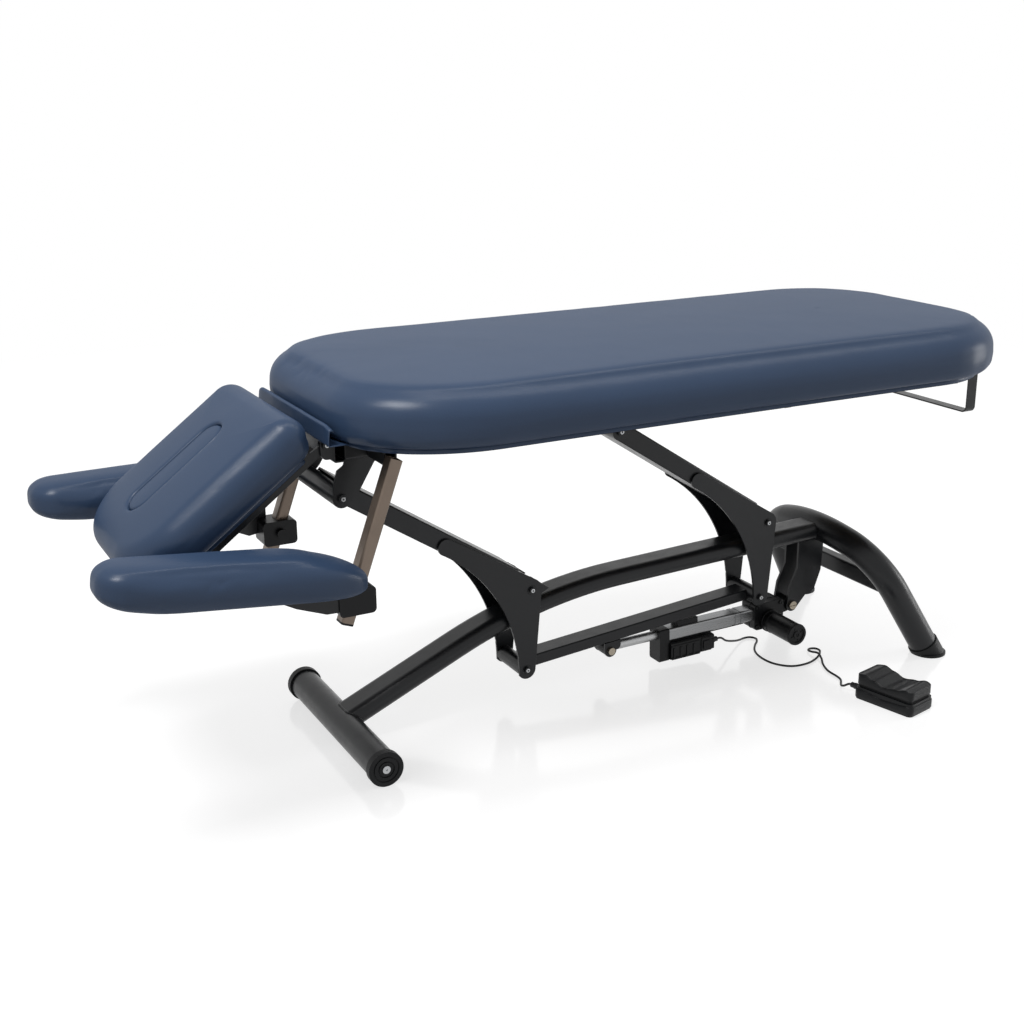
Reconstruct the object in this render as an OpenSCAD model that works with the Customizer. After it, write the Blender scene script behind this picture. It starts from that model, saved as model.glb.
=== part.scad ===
// Electric treatment table with a parallelogram lift, a tilting head section and two armrests.
// The frame stands on a round foot bar in front and a bent arch behind. A bent flat-oval spine
// joins them and carries two bell cranks. A tie bar joins the cranks, and a linear actuator
// pushes it. All places are worked out from the foot bar's axis, and then moved so that the
// origin is on the floor under the middle of the whole object.

/* [Table top] */
// Length of the main cushion
cushion_l = 1570; // [1450:1:1700]
// Width of the main cushion
cushion_w = 702; // [640:1:760]
// Thickness of the main cushion at its edge
cushion_t = 104; // [80:1:120]
// How far the cushion's front edge stands ahead of the foot bar
cushion_ahead = 58; // [48:1:66]
// Rise of the cushion's middle above its edge
cushion_crown = 5; // [2:0.5:8]
// How far the rounding of the top edge reaches inwards
cushion_edge_in = 66; // [50:1:74]
// How far the rounding of the top edge reaches down the sides
cushion_edge_down = 56; // [44:1:62]
// Half width of the straight front edge before its corners
cushion_nose_half = 136; // [110:1:160]
// Length over which the front corners widen to the full width
cushion_taper_l = 270; // [220:1:300]
// Radius of the rear corners
cushion_rear_r = 240; // [180:1:270]
// How far the long sides are drawn in between the corners
side_pull = 3; // [0:0.5:6]

/* [Table frame] */
// Height of the side rails
rail_h = 40; // [30:1:50]
// Width of the side rails
rail_w = 25; // [20:1:35]
// Thickness of the plywood boards
board_t = 12; // [9:1:18]
// Drop from the rails to the front lift pivot
drop_h = 76; // [66:1:86]
// Distance from the centre plane to the outer face of the drop brackets
drop_half = 109; // [104:1:116]
// Thickness of the bracket and crank plates
plate_t = 6; // [5:0.5:7]

/* [Lift] */
// Height of the front lift pivot above the floor
pivot_z = 269; // [262:1:276]
// Distance from the foot bar to the front lift pivot
pivot_x = 414; // [404:1:424]
// Distance between the two lift pivots along the table
pivot_step = 612; // [596:1:628]
// Rise from the front to the rear lift pivot
pivot_rise = 52; // [46:1:56]
// Length of each lift arm between its pivots
arm_length = 515.5; // [500:0.5:530]
// Angle of the lift arms above the horizontal
arm_angle = 32.9; // [30:0.1:35]
// Height of the lift arm tube
arm_h = 40; // [34:1:42]
// Distance from the lift pivot to the tie bar pivot
crank_length = 179.5; // [172:0.5:186]
// Angle of the crank behind the vertical
crank_angle = 4; // [2:0.5:6]
// Distance from the centre plane to the outer face of the crank plates
crank_half = 55; // [53:0.5:58]
// Radius of the pivot shafts
shaft_r = 10; // [8:0.5:11]
// Radius of the shaft in each table pivot
bracket_shaft_r = 6; // [5:0.5:7]
// Radial clearance of a shaft in its bore
run_gap = 0.05; // [0.03:0.01:0.09]

/* [Base frame] */
// Outer radius of the front foot bar
foot_bar_r = 32; // [28:1:36]
// How far the foot cap flange stands out from the bar
foot_cap_lip = 4; // [2:0.5:8]
// Distance from the centre plane to the outer face of each foot cap
foot_bar_half = 231; // [200:1:280]
// Width of the bent spine tube
spine_w = 80; // [70:1:84]
// Height of the bent spine tube
spine_h = 40; // [36:1:42]
// Slope of the front run of the spine
spine_front_angle = 23.5; // [22:0.5:25]
// Slope of the rear run of the spine
spine_rear_angle = 2.1; // [1.5:0.1:3]
// Length of the front run of the spine
spine_front_l = 278; // [268:1:290]
// Bending radius of the spine
spine_bend_r = 1100; // [1060:5:1140]
// Height of the spine's axis over the foot bar
spine_foot_z = 45.5; // [43:0.5:48]
// Outer radius of the rear arch tube
arch_r = 32; // [28:1:34]
// Distance from the foot bar to the top of the rear arch
arch_x = 1214; // [1200:1:1240]
// Height of the arch's axis at its top
arch_z = 270; // [262:1:278]
// Slope of the arch's plane off the vertical
arch_tilt = 30; // [26:1:34]
// Bending radius over the top of the arch
arch_top_r = 400; // [340:5:460]
// Half angle of the bend over the top of the arch
arch_top_angle = 16; // [12:1:18]
// Bending radius of each shoulder of the arch
arch_shoulder_r = 140; // [130:1:150]
// Slope of each leg of the arch in its own plane
arch_leg_angle = 81.7; // [78:0.1:85]
// Wall thickness of the steel tubes
tube_wall = 3; // [2:0.5:3.5]

/* [Head section] */
// Angle of the head section below the table
head_tilt = 37; // [20:1:45]
// Length of the head cushion
head_l = 398; // [360:1:410]
// Width of the head cushion
head_w = 390; // [350:1:396]
// Thickness of the head cushion at its edge
head_t = 84; // [74:1:92]
// Radius of the corners at the head cushion's tip
head_tip_r = 120; // [90:1:140]
// Length of the face slot
face_slot_l = 226; // [190:1:250]
// Width of the face slot
face_slot_w = 70; // [50:1:90]

/* [Armrests] */
// Length of each armrest pad
pad_l = 486; // [440:1:520]
// Width of each armrest pad at the head end
pad_w = 122; // [100:1:126]
// Thickness of each armrest pad
pad_t = 76; // [68:1:82]
// Slope of the right armrest pad, rising towards the head end
right_slope = 6; // [2:0.5:8]
// Slope of the left armrest pad, rising towards the head end
left_slope = -0.5; // [-3:0.5:4]
// How much higher the left pad stands than the right one
left_pad_raise = 31; // [24:1:36]
// How much higher the left clamp stands on its post than the right one
left_clamp_raise = 6; // [0:1:12]
// Distance from the centre plane to the middle of each pad
pad_half = 265; // [260:1:275]
// Lean of the armrest posts off the vertical
post_lean = 20; // [16:0.5:24]
// Width of the armrest posts seen from the side
post_w = 25; // [20:1:30]
// Depth of the armrest posts across the table
post_d = 32; // [26:1:36]
// Distance from the centre plane to the middle of each post
post_half = 216; // [212:1:222]

/* [Actuator] */
// Width of the aluminium housing across the table
housing_w = 38; // [34:1:42]
// Height of the aluminium housing
housing_h = 30; // [28:1:34]
// Length of the aluminium housing
housing_l = 236; // [220:1:250]
// Radius of the push rod
rod_r = 11; // [10:0.5:12]
// Radius of the motor
motor_r = 25; // [22:1:28]
// Length of the motor outside the gear housing
motor_l = 105; // [85:1:115]
// Length of the control box
control_l = 121; // [110:1:130]
// Height of the control box
control_h = 40; // [34:1:42]

/* [Foot switch] */
// Width of the foot switch
switch_w = 82; // [70:1:90]
// Length of the foot switch
switch_l = 142; // [130:1:160]
// Height of the foot switch's lower shell
switch_base_h = 28; // [24:1:32]
// Diameter of the foot switch cord
cord_d = 5; // [4:0.5:6]

/* [Hidden] */
$fn = 48;

// Colours of the finishes
black_steel = "#2b2e33";
bronze = "#7a6a5c";
bright_steel = "#b9bcc0";
aluminium = "#9aa0a4";
black_plastic = "#1c1d20";
vinyl = "#33486b";
plywood = "#a98b62";

// Overrun of cuts, gap of a welded seat, gap beside moving faces and corner radius of tubes
over = 1;
weld_gap = 0.2;
side_gap = 0.5;
tube_corner_r = 5;

// Lift pivots in the side view: [along the table, height]
arm_dir = [-cos(arm_angle), sin(arm_angle)];
crank_tip = crank_length * [-sin(crank_angle), -cos(crank_angle)];
pivot_front = [pivot_x, pivot_z];
pivot_rear = pivot_front + [pivot_step, pivot_rise];
top_front = pivot_front + arm_length * arm_dir;
top_rear = pivot_rear + arm_length * arm_dir;
tie_front = pivot_front + crank_tip;
tie_rear = pivot_rear + crank_tip;

// Cranks
crank_inner = crank_half - plate_t;
arm_offset = 6;
arm_start = 48;
plate_reach = 232;
plate_root_r = 24;
spur_shares = [[-0.42, 0.21], [0, 0.125], [0.18, -0.01], [0.06, -0.07], [-0.2, -0.1]];
plate_end_r = 18;
leg_r = 21;
scoop_r = 352;
scoop_bite = 0.5;
top_tube_r = 19;
top_bush_l = 30;
pin_head_r = 7;
pin_head_h = 5;
bolt_head_r = 8.5;
bolt_head_h = 6;
bearing_r = 20;
gusset_half = 16;
fine = 240;
plain = 48;
seam_angle = 0.01;
gusset_spread = 34;
tie_end_r = 18;
fit_gap = 0.02;

// Tie bar and lug
tie_w = 50;
tie_h = 26;
tie_sink = 1;
lug_x = 630;
lug_z = 75;
lug_r = 15;
lug_inner = 18;
lug_bump_r = 11;
lug_bump_back = 26;
lug_bolt_r = 6;
lug_head_r = 8.5;

// Spine path in the side view
spine_start = [0, spine_foot_z];
spine_bend_start = spine_start + spine_front_l * [cos(spine_front_angle), sin(spine_front_angle)];
spine_centre = spine_bend_start + spine_bend_r * [sin(spine_front_angle), -cos(spine_front_angle)];
spine_bend_end = spine_centre + spine_bend_r * [-sin(spine_rear_angle), cos(spine_rear_angle)];
spine_rear_l = (arch_x - spine_bend_end.x) / cos(spine_rear_angle);

// Height of the spine's axis over a place on its rear run
function rear_run_z(x) = spine_bend_end.y + (x - spine_bend_end.x) * tan(spine_rear_angle);

// Place of the bend's axis over x
function bend_z(x) = spine_centre.y + sqrt(spine_bend_r ^ 2 - (x - spine_centre.x) ^ 2);

// Arch in its own plane: across, up
arch_joint = arch_top_r * [sin(arch_top_angle), cos(arch_top_angle) - 1];
arch_shoulder = arch_joint - arch_shoulder_r * [sin(arch_top_angle), cos(arch_top_angle)];
arch_leg_top = arch_shoulder + arch_shoulder_r * [sin(arch_leg_angle), cos(arch_leg_angle)];
arch_depth = arch_z / cos(arch_tilt);
arch_leg_l = (arch_depth + arch_leg_top.y) / sin(arch_leg_angle);
foot_cuff = 30;
foot_flare = 8;
foot_half = arch_leg_top.x + arch_leg_l * cos(arch_leg_angle);
foot_x = arch_x + arch_z * tan(arch_tilt);
stretcher_z = 169;
stretcher_h = 40;
stretcher_w = 30;

// Foot caps
foot_bar_z = foot_bar_r + foot_cap_lip;
foot_cap_w = 15;
foot_spigot_l = 25;
groove_d = 2;
groove_w = 3;
cap_screw_r = 4;
hex_share = 0.6;

// Actuator pivots and the frame that its pieces are drawn in
mount_x = 1132;
mount_z = 91;
mount_r = 16;
mount_inner = 20;
mount_bolt_r = 8;
mount_head_r = 10;
pin_over_axis = 7;
axis_z = mount_z - pin_over_axis;
rod_reach = norm([mount_x - lug_x, axis_z - lug_z]);
actuator_angle = atan2(axis_z - lug_z, mount_x - lug_x);
pin_at = pin_over_axis * [sin(actuator_angle), cos(actuator_angle)];
housing_start = 108;
front_cap_l = 26;
front_cap_w = 44;
front_cap_up = 17;
front_cap_down = 61;
gear_start = 24;
gear_w = 50;
gear_h = 66;
gear_sink = 5;
motor_back = 65;
motor_sink = 19;
control_w = 50;
control_side = 4;
rear_block_share = 0.32;
clip_start = 27;
clip_l = 55;
clip_h = 13;
strip_l = 212;
strip_h = 3;
screw_r = 5;
eye_gap = 0.5;
rod_length = 300;
rod_solid_l = 107;
band_shares = [0.75, 0.82];
band_w = 8;
band_d = 1;
bore_r = 12.5;
eye_r = 14;
gland_r = 7;
gland_play = 2;
gland_l = 14;

// Table frame heights
rail_z = top_front.y + drop_h;
board_z = rail_z + rail_h;
cushion_z = board_z + board_t;
cushion_front = -cushion_ahead;
cushion_rear = cushion_l - cushion_ahead;
rail_half = drop_half - plate_t / 2;
rail_front = -14;
rail_end_inset = 130;
rail_rear = cushion_rear - rail_end_inset;
board_inset = 32;

// Head hinge
hinge_x = -53;
hinge_drop = 3;
hinge_z = rail_z + rail_h - hinge_drop;
hinge_half = 128;
hinge_r = 12;
hinge_bolt_r = 6;
hinge_head_r = 8;
head_start = 22;
head_rise = 31;
head_ear_h = 5.5;
head_ear_back = 10;
head_board_inset = 30;
head_inner = hinge_half - plate_t - side_gap;

// Posts and clamps
post_bottom_x = -64;
post_bottom_z = 349;
post_l = (rail_z + rail_h / 2 - post_bottom_z) / cos(post_lean);
clamp_up = 47;
clamp_w = 72;
clamp_h = 52;
clamp_d = 56;
clamp_gap = 0.4;

rail_shares = [0.25, 0.61, 0.91];
rail_spread_share = 0.27;
post_top_x = post_bottom_x + post_l * sin(post_lean);
post_cap_t = 4;
ear_back_x = rail_front - weld_gap - rail_w;
ear_mid_z = rail_z + rail_h / 2;

// Hanger outline about the pivot, in shares of the front drop
hanger_shares = [
    [0.14, -0.21], [0.47, 0.145], [0.74, 0.59], [0.89, 0.84], [1.2, 0.855], [1.26, 1.05],
    [0.16, 1.05], [0.07, 0.82], [-0.1, 0.71], [-0.2, 0.37], [-0.24, -0.05]
];

// Actuator bracket outline about its pin, in shares of its reach
bracket_reach = 150;
bracket_shares = [
    [-0.1, 0.03], [-0.09, -0.05], [0.05, -0.1], [0.27, 0.14], [0.43, 0.2], [0.54, 0.5], [0.56, 0.9],
    [0.56, 1.15], [0.08, 1.08], [0.08, 0.6], [-0.06, 0.3]
];

// Padding: how far the turned lower edge reaches inwards and up, and the head and arm pads' edges
under_in = 20;
under_up = 24;
crown_shares = [0.12, 0.3, 0.55, 0.85];
head_edge = 42;
head_ridge_share = 0.13;
pad_edge_in = 40;
pad_edge_down = 44;
pad_rear_share = 0.38;
pad_front_share = 0.475;
plug_under = 3;

// Feet, caps and holder
foot_pad_t = 5;
foot_wall = 3;
groove_in_share = 0.45;
groove_out_share = 0.75;
slot_half = 1.5;
holder_half = 200;
holder_drop = 110;
holder_inset = 51;
holder_w = 26;
holder_t = 3.5;
holder_bend = 14;
holder_tab = 40;

// Flap between the cushions
flap_gap = 13.5;
flap_t = 2;
flap_half = 196;
flap_h = 40;

// Head section, in its own frame with the hinge at the origin
head_mid = head_start + head_l / 2;
head_rear_r = 48;
plug_gap = 1;
plug_lip = 9;
plug_edge_r = 7;
head_bar_share = 0.82;
head_cross_shares = [0.2, 0.72];
head_bar_h = head_rise - board_t;

// Pad arm outline along the pad's underside: [share of the pad's length, share of its thickness]
pad_arm_shares = [[0.12, 0], [0.12, -0.12], [0.25, -0.46], [0.37, -0.66], [0.45, -0.62], [0.45, 0]];
pad_arm_t = 12;
pad_arm_in = 30;
pad_fall_share = 0.48;
pad_fall_from_share = 0.11;
pad_rise_share = 0.25;
pad_rise_from_share = 0.2;
left_arm_share = 1.8;
pad_flange_t = 4;
pad_flange_w = 44;
screw_knob_r = 10;
clamp_screw_r = 4;
clamp_round = 9;

// Foot switch
switch_round = 10;
tier_inset = 5;
tier_h = 8;
switch_pin_r = 3;
switch_hub_r = 6;
switch_pin_z = switch_base_h + tier_h - switch_hub_r + over;
rocker_gap = 6;
rocker_t = 8;
rocker_web = 6;
hub_half = 22;
rocker_wave_shares = [
    [-1, 1.5], [-0.82, 1.75], [-0.45, 0.95], [0, 0.35], [0.4, 1.3], [0.75, 2.1], [1, 1.8]
];
switch_gland_x = -27;
switch_gland_z = 20;
switch_gland_l = 18;
room = 2000;

// Cord route on the floor, from the actuator to the foot switch
cord_r = cord_d / 2;
cord_sides = 8;
cord_steps = 3;
cord_mid = [
    [958, -4, 28], [990, 12, 16], [1022, 26, 6], [1052, 36, cord_r], [1062, 20, cord_r],
    [1040, -4, cord_r], [1016, -34, cord_r], [1003, -80, cord_r], [1010, -128, cord_r],
    [1034, -154, cord_r], [1068, -159, cord_r], [1112, -146, cord_r], [1140, -124, cord_r],
    [1152, -104, cord_r],
    [1142, -116, cord_r], [1117, -150, cord_r], [1096, -184, cord_r], [1087, -224, cord_r],
    [1086, -262, cord_r]
];

// Room that the pads and the pedal take, for the origin
pad_mid_x = -281;
pad_mid_z = 447;
switch_x = 1109;
switch_y = -408;
switch_turn = 13.4;
origin_x = (pad_mid_x - pad_l / 2 + cushion_rear) / 2;
switch_straight = [switch_w - 2 * switch_round, switch_l - 2 * switch_round];
switch_reach = switch_round + switch_straight * [sin(switch_turn), cos(switch_turn)] / 2;
origin_y = (switch_y - switch_reach + cushion_w / 2) / 2;

module in_place() translate([-origin_x, -origin_y, 0]) children();

module both_sides(half) for (s = [-1, 1]) translate([0, s * half, 0]) children();

// A flat shape drawn as [along the table, height], given a thickness across the table
module side_plate(t) rotate([90, 0, 0]) linear_extrude(height = t, center = true) children();

module at(p) translate([p.x, 0, p.y]) children();

module cross_cylinder(r, l) rotate([90, 0, 0]) cylinder(r = r, h = l, center = true);

// Two round ends joined by their common tangents
module link(p1, r1, p2, r2) {
    reach = norm(p2 - p1);
    a = atan2(p2.y - p1.y, p2.x - p1.x);
    b = acos((r1 - r2) / reach);
    translate(p1) circle(r = r1);
    translate(p2) circle(r = r2);
    polygon([
        p1 + r1 * [cos(a + b), sin(a + b)], p2 + r2 * [cos(a + b), sin(a + b)],
        p2 + r2 * [cos(a - b), sin(a - b)], p1 + r1 * [cos(a - b), sin(a - b)]
    ]);
}

module flat_oval(w, h) {
    square([w - h, h], center = true);
    for (s = [-1, 1]) translate([s * (w - h) / 2, 0]) circle(r = h / 2);
}

module rounded(w, h, r) {
    square([w - 2 * r, h], center = true);
    square([w, h - 2 * r], center = true);
    for (x = [-1, 1], y = [-1, 1]) translate([x * (w / 2 - r), y * (h / 2 - r)]) circle(r = r);
}

module box_tube(w, h) difference() {
    rounded(w, h, tube_corner_r);
    rounded(w - 2 * tube_wall, h - 2 * tube_wall, tube_corner_r - tube_wall + weld_gap);
}

// Skin over a stack of rings that run round the same way. Between two rings it has two
// triangles to a side, and the first and the last ring are closed by strips across them.
module skin(rings) {
    n = len(rings[0]);
    last = len(rings) - 1;
    end = last * n;
    polyhedron(
        points = [for (ring = rings) each ring],
        faces = concat(
            [for (i = [0:n / 2 - 2]) [i, n - 2 - i, n - 1 - i]],
            [for (i = [0:n / 2 - 2]) [i, i + 1, n - 2 - i]],
            [for (k = [0:n:end - n], i = [0:n - 1]) [k + i, k + n + i, k + n + (i + 1) % n]],
            [for (k = [0:n:end - n], i = [0:n - 1]) [k + i, k + n + (i + 1) % n, k + (i + 1) % n]],
            [for (i = [0:n / 2 - 2]) [end + i, end + n - 1 - i, end + n - 2 - i]],
            [for (i = [0:n / 2 - 2]) [end + i, end + n - 2 - i, end + i + 1]]
        )
    );
}

// One point of an outline with its outward normal, on an ellipse about c
function oval_point(c, a, b, t) =
    let (m = [cos(t) / a, sin(t) / b]) [c.x + a * cos(t), c.y + b * sin(t), m.x / norm(m), m.y / norm(m)];

function oval_arc(c, a, b, from, to, n) = [for (i = [0:n]) oval_point(c, a, b, from + (to - from) * i / n)];

// Half outline from the rear end round to the front end. The rear
// corner is an ellipse of rl by rw and the front corner one of fl by fw.
function half_outline(l, w, rl, rw, fl, fw, pull, n) = concat(
    oval_arc([l / 2 - rl, w / 2 - rw], rl, rw, 0, 90, n),
    [for (i = [1:5]) let (t = i / 6) [
        (l / 2 - rl) * (1 - t) + (fl - l / 2) * t, w / 2 - pull * sin(180 * t), 0, 1
    ]],
    oval_arc([fl - l / 2, w / 2 - fw], fl, fw, 90, 180, n)
);

function whole_outline(h) =
    concat(h, [for (i = [len(h) - 1:-1:0]) [h[i].x, -h[i].y, h[i].z, -h[i][3]]]);

function inset_ring(o, d, z) = [for (p = o) [p.x - d * p.z, p.y - d * p[3], z]];

// Ring of the crown: part t of the way from the top edge to the long axis
function crown_ring(o, d, z, mid, rise, t) = [
    for (p = o) let (x = p.x - d * p.z, y = p.y - d * p[3], q = min(max(x, -mid), mid))
        [x + (q - x) * t, y * (1 - t), z + rise * (1 - (1 - t) ^ 2)]
];

function padding(o, h, inwards, down, mid, rise) = concat(
    [for (a = [0:30:90]) inset_ring(o, under_in * (1 - sin(a)), under_up * (1 - cos(a)))],
    [for (a = [0:15:90]) inset_ring(o, inwards * (1 - cos(a)), h - down + down * sin(a))],
    [for (t = crown_shares) crown_ring(o, inwards, h, mid, rise, t)]
);

function table_outline() = half_outline(
    cushion_l, cushion_w, cushion_rear_r, cushion_rear_r,
    cushion_taper_l, cushion_w / 2 - cushion_nose_half, side_pull, 10
);

module plan(o, inset) polygon([for (p = o) [p.x - inset * p.z, p.y - inset * p[3]]]);

// Everything under a level
module below(z) translate([-room, -room, z - room]) cube([3 * room, 2 * room, room]);

// Foot bar and its caps
module foot_bar() color(black_steel) in_place() at([0, foot_bar_z]) difference() {
    cross_cylinder(foot_bar_r, 2 * (foot_bar_half - foot_cap_w));
    cross_cylinder(foot_bar_r - tube_wall, 2 * foot_bar_half);
}

module foot_caps() color(black_plastic) in_place()
    for (s = [-1, 1]) translate([0, s * foot_bar_half, foot_bar_z]) rotate([-90 * s, 0, 0]) difference() {
        union() {
            translate([0, 0, -foot_cap_w]) cylinder(r = foot_bar_r + foot_cap_lip, h = foot_cap_w);
            translate([0, 0, -foot_cap_w - foot_spigot_l])
                cylinder(r = foot_bar_r - tube_wall - fit_gap, h = foot_spigot_l);
        }
        for (r = [groove_in_share, groove_out_share] * foot_bar_r)
            rotate_extrude() translate([r, -groove_d]) square([groove_w, groove_d + over]);
        translate([0, 0, -groove_d]) cylinder(r = cap_screw_r * 2 + weld_gap, h = groove_d + over);
        translate([0, 0, -foot_cap_w - foot_spigot_l - over])
            cylinder(r = cap_screw_r, h = 2 * foot_spigot_l);
    }

module cap_screws() color(bright_steel) in_place()
    for (s = [-1, 1]) translate([0, s * foot_bar_half, foot_bar_z]) rotate([-90 * s, 0, 0]) difference() {
        union() {
            translate([0, 0, -foot_cap_w - foot_spigot_l])
                cylinder(r = cap_screw_r, h = foot_cap_w + foot_spigot_l);
            translate([0, 0, -groove_d]) cylinder(r = cap_screw_r * 2, h = cap_screw_r);
        }
        cylinder(r = cap_screw_r * hex_share, h = foot_cap_w, $fn = 6);
    }

// Spine: front run, bend and rear run of one flat-oval section
module spine_section() difference() {
    flat_oval(spine_w, spine_h);
    flat_oval(spine_w - 2 * tube_wall, spine_h - 2 * tube_wall);
}

module spine_tube() color(black_steel) in_place() {
    difference() {
        at(spine_start) rotate([0, -spine_front_angle, 0]) rotate([90, 0, 90])
            linear_extrude(height = spine_front_l) spine_section();
        at([0, foot_bar_z]) cross_cylinder(foot_bar_r + weld_gap, 4 * spine_w);
    }
    at(spine_centre) rotate([0, -90 - spine_rear_angle, 0]) rotate([90, 0, 0])
        rotate_extrude(angle = spine_front_angle - spine_rear_angle, $fn = fine)
            translate([spine_bend_r, 0]) rotate(90) spine_section($fn = plain);
    difference() {
        at(spine_bend_end) rotate([0, -spine_rear_angle, 0]) rotate([90, 0, 90])
            linear_extrude(height = spine_rear_l) spine_section();
        arch_top(arch_r + weld_gap);
    }
}

// Side view of what the spine's flat top and bottom keep clear
module spine_side() {
    translate(spine_bend_end) rotate(spine_rear_angle) translate([0, -spine_h / 2 - weld_gap])
        square([spine_rear_l + arch_r, spine_h + 2 * weld_gap]);
    difference() {
        translate(spine_centre) circle(r = spine_bend_r + spine_h / 2 + weld_gap, $fn = fine);
        translate(spine_centre) circle(r = spine_bend_r - spine_h / 2 - weld_gap, $fn = fine);
        translate([spine_bend_end.x, -room]) square([room, 2 * room]);
        translate([-room, -room]) square([2 * room, room]);
        translate([-room, -room]) square([room, 2 * room]);
    }
}

// Bearing tube of one lift pivot on its two gussets
module saddle(p, foot_z) {
    difference() {
        union() {
            at(p) cross_cylinder(bearing_r, 2 * (crank_inner - side_gap));
            both_sides(gusset_half) side_plate(plate_t) difference() {
                polygon([
                    p + [-bearing_r, 0], p + [bearing_r, 0],
                    [p.x + gusset_spread, foot_z], [p.x - gusset_spread, foot_z]
                ]);
                spine_side();
            }
        }
        at(p) cross_cylinder(shaft_r + run_gap, 4 * crank_half);
    }
}

module pivot_saddles() color(black_steel) in_place() {
    saddle(pivot_front, bend_z(pivot_x));
    saddle(pivot_rear, rear_run_z(pivot_rear.x));
}

// Rear arch, drawn in its own plane and then leaned
module on_arch() translate([arch_x, 0, arch_z]) rotate([0, -arch_tilt, 0]) rotate([90, 0, 90]) children();

module ring(r, hole) difference() {
    circle(r = r, $fn = plain);
    if (hole > 0) circle(r = hole, $fn = plain);
}

module arch_top(r, hole = 0) on_arch() translate([0, -arch_top_r, 0]) rotate(90 - arch_top_angle)
    rotate_extrude(angle = 2 * arch_top_angle, $fn = fine) translate([arch_top_r, 0]) ring(r, hole);

module arch_shoulders(r, hole = 0, more = 0) on_arch() for (m = [0, 1]) mirror([m, 0, 0])
    translate(arch_shoulder) rotate(90 - arch_leg_angle - more)
        rotate_extrude(angle = arch_leg_angle - arch_top_angle + more - seam_angle, $fn = fine)
            translate([arch_shoulder_r, 0]) ring(r, hole);

module arch_legs(r, hole = 0) on_arch() for (m = [0, 1]) mirror([m, 0, 0])
    translate(arch_leg_top) rotate(-arch_leg_angle) rotate([0, 90, 0]) translate([0, 0, fit_gap])
        linear_extrude(height = arch_leg_l + foot_cuff) ring(r, hole);

module arch_leg_ends(r, l) on_arch()
    for (m = [0, 1]) mirror([m, 0, 0]) translate(arch_leg_top) rotate(-arch_leg_angle)
        rotate([0, 90, 0]) translate([0, 0, arch_leg_l - l]) cylinder(r = r, h = l + foot_cuff);

module rear_arch() color(black_steel) in_place() {
    arch_top(arch_r, arch_r - tube_wall);
    arch_shoulders(arch_r, arch_r - tube_wall);
    difference() {
        arch_legs(arch_r, arch_r - tube_wall);
        below(foot_pad_t);
    }
}

module rear_feet() color(black_plastic) in_place() difference() {
    union() {
        arch_leg_ends(arch_r + foot_wall, foot_cuff);
        both_sides(foot_half) translate([foot_x, 0, 0]) cylinder(r = arch_r + foot_flare, h = foot_pad_t);
    }
    difference() {
        arch_leg_ends(arch_r + fit_gap, 2 * foot_cuff);
        below(foot_pad_t);
    }
    below(0);
}

module rear_stretcher() color(black_steel) in_place() difference() {
    translate([arch_x + (arch_z - stretcher_z) * tan(arch_tilt), arch_leg_top.x, stretcher_z])
        rotate([90, 0, 0]) linear_extrude(height = 2 * arch_leg_top.x) box_tube(stretcher_w, stretcher_h);
    arch_shoulders(arch_r + weld_gap, 0, foot_cuff);
}

// Curved plates that hold the actuator's rear pin under the spine
module actuator_brackets() color(black_steel) in_place() difference() {
    both_sides(mount_inner + plate_t / 2) side_plate(plate_t) difference() {
        union() {
            translate([mount_x, mount_z]) circle(r = mount_r);
            polygon([for (p = bracket_shares) [mount_x, mount_z] + bracket_reach * p]);
        }
        translate([mount_x, mount_z]) circle(r = mount_bolt_r + fit_gap);
        spine_side();
    }
    arch_top(arch_r + weld_gap);
}

module actuator_bolt() color(bright_steel) in_place() at([mount_x, mount_z]) difference() {
    union() {
        cross_cylinder(mount_bolt_r, 2 * (mount_inner + plate_t));
        both_sides(mount_inner + plate_t + bolt_head_h / 2) cross_cylinder(mount_head_r, bolt_head_h);
    }
    translate([-mount_head_r - over, -mount_inner - plate_t - bolt_head_h - over, -slot_half])
        cube([2 * (mount_head_r + over), over + slot_half, 2 * slot_half]);
}

// Cranks: arm tube between two plates, with pins for the base and the tie bar
module crank_shape(p, spur) difference() {
    end = p + plate_reach * arm_dir;
    foot = p + crank_tip;
    span = norm(end - foot);
    aside = sqrt((scoop_r + plate_end_r) ^ 2 - (span / 2) ^ 2) - scoop_bite;
    union() {
        link(p, plate_root_r, end, plate_end_r);
        link(p, plate_root_r, foot, leg_r);
        if (spur) polygon([for (q = spur_shares) p + plate_reach * q]);
        polygon([p, end, foot]);
    }
    translate((end + foot) / 2 + aside * [foot.y - end.y, end.x - foot.x] / span)
        circle(r = scoop_r, $fn = fine);
    translate(p) circle(r = shaft_r + fit_gap);
    translate(foot) circle(r = shaft_r + fit_gap);
}

module crank_plates(p, spur)
    both_sides(crank_inner + plate_t / 2) side_plate(plate_t) crank_shape(p, spur);

module crank_arm(p) difference() {
    at(p) rotate([0, arm_angle, 0]) translate([-arm_length, 0, arm_offset]) rotate([90, 0, 90])
        linear_extrude(height = arm_length - arm_start) box_tube(2 * crank_inner, arm_h);
    at(p + arm_length * arm_dir) cross_cylinder(top_tube_r + weld_gap, 4 * crank_half);
}

module crank_top(p) at(p + arm_length * arm_dir) difference() {
    cross_cylinder(top_tube_r, 2 * (drop_half - plate_t - side_gap));
    cross_cylinder(bracket_shaft_r + run_gap, 2 * drop_half);
    cross_cylinder(top_tube_r - tube_wall, 2 * (drop_half - plate_t - top_bush_l));
}

module crank_pins(p) for (q = [p, p + crank_tip]) at(q) {
    cross_cylinder(shaft_r, 2 * crank_half);
    both_sides(crank_half + pin_head_h / 2) cross_cylinder(pin_head_r, pin_head_h);
}

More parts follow.
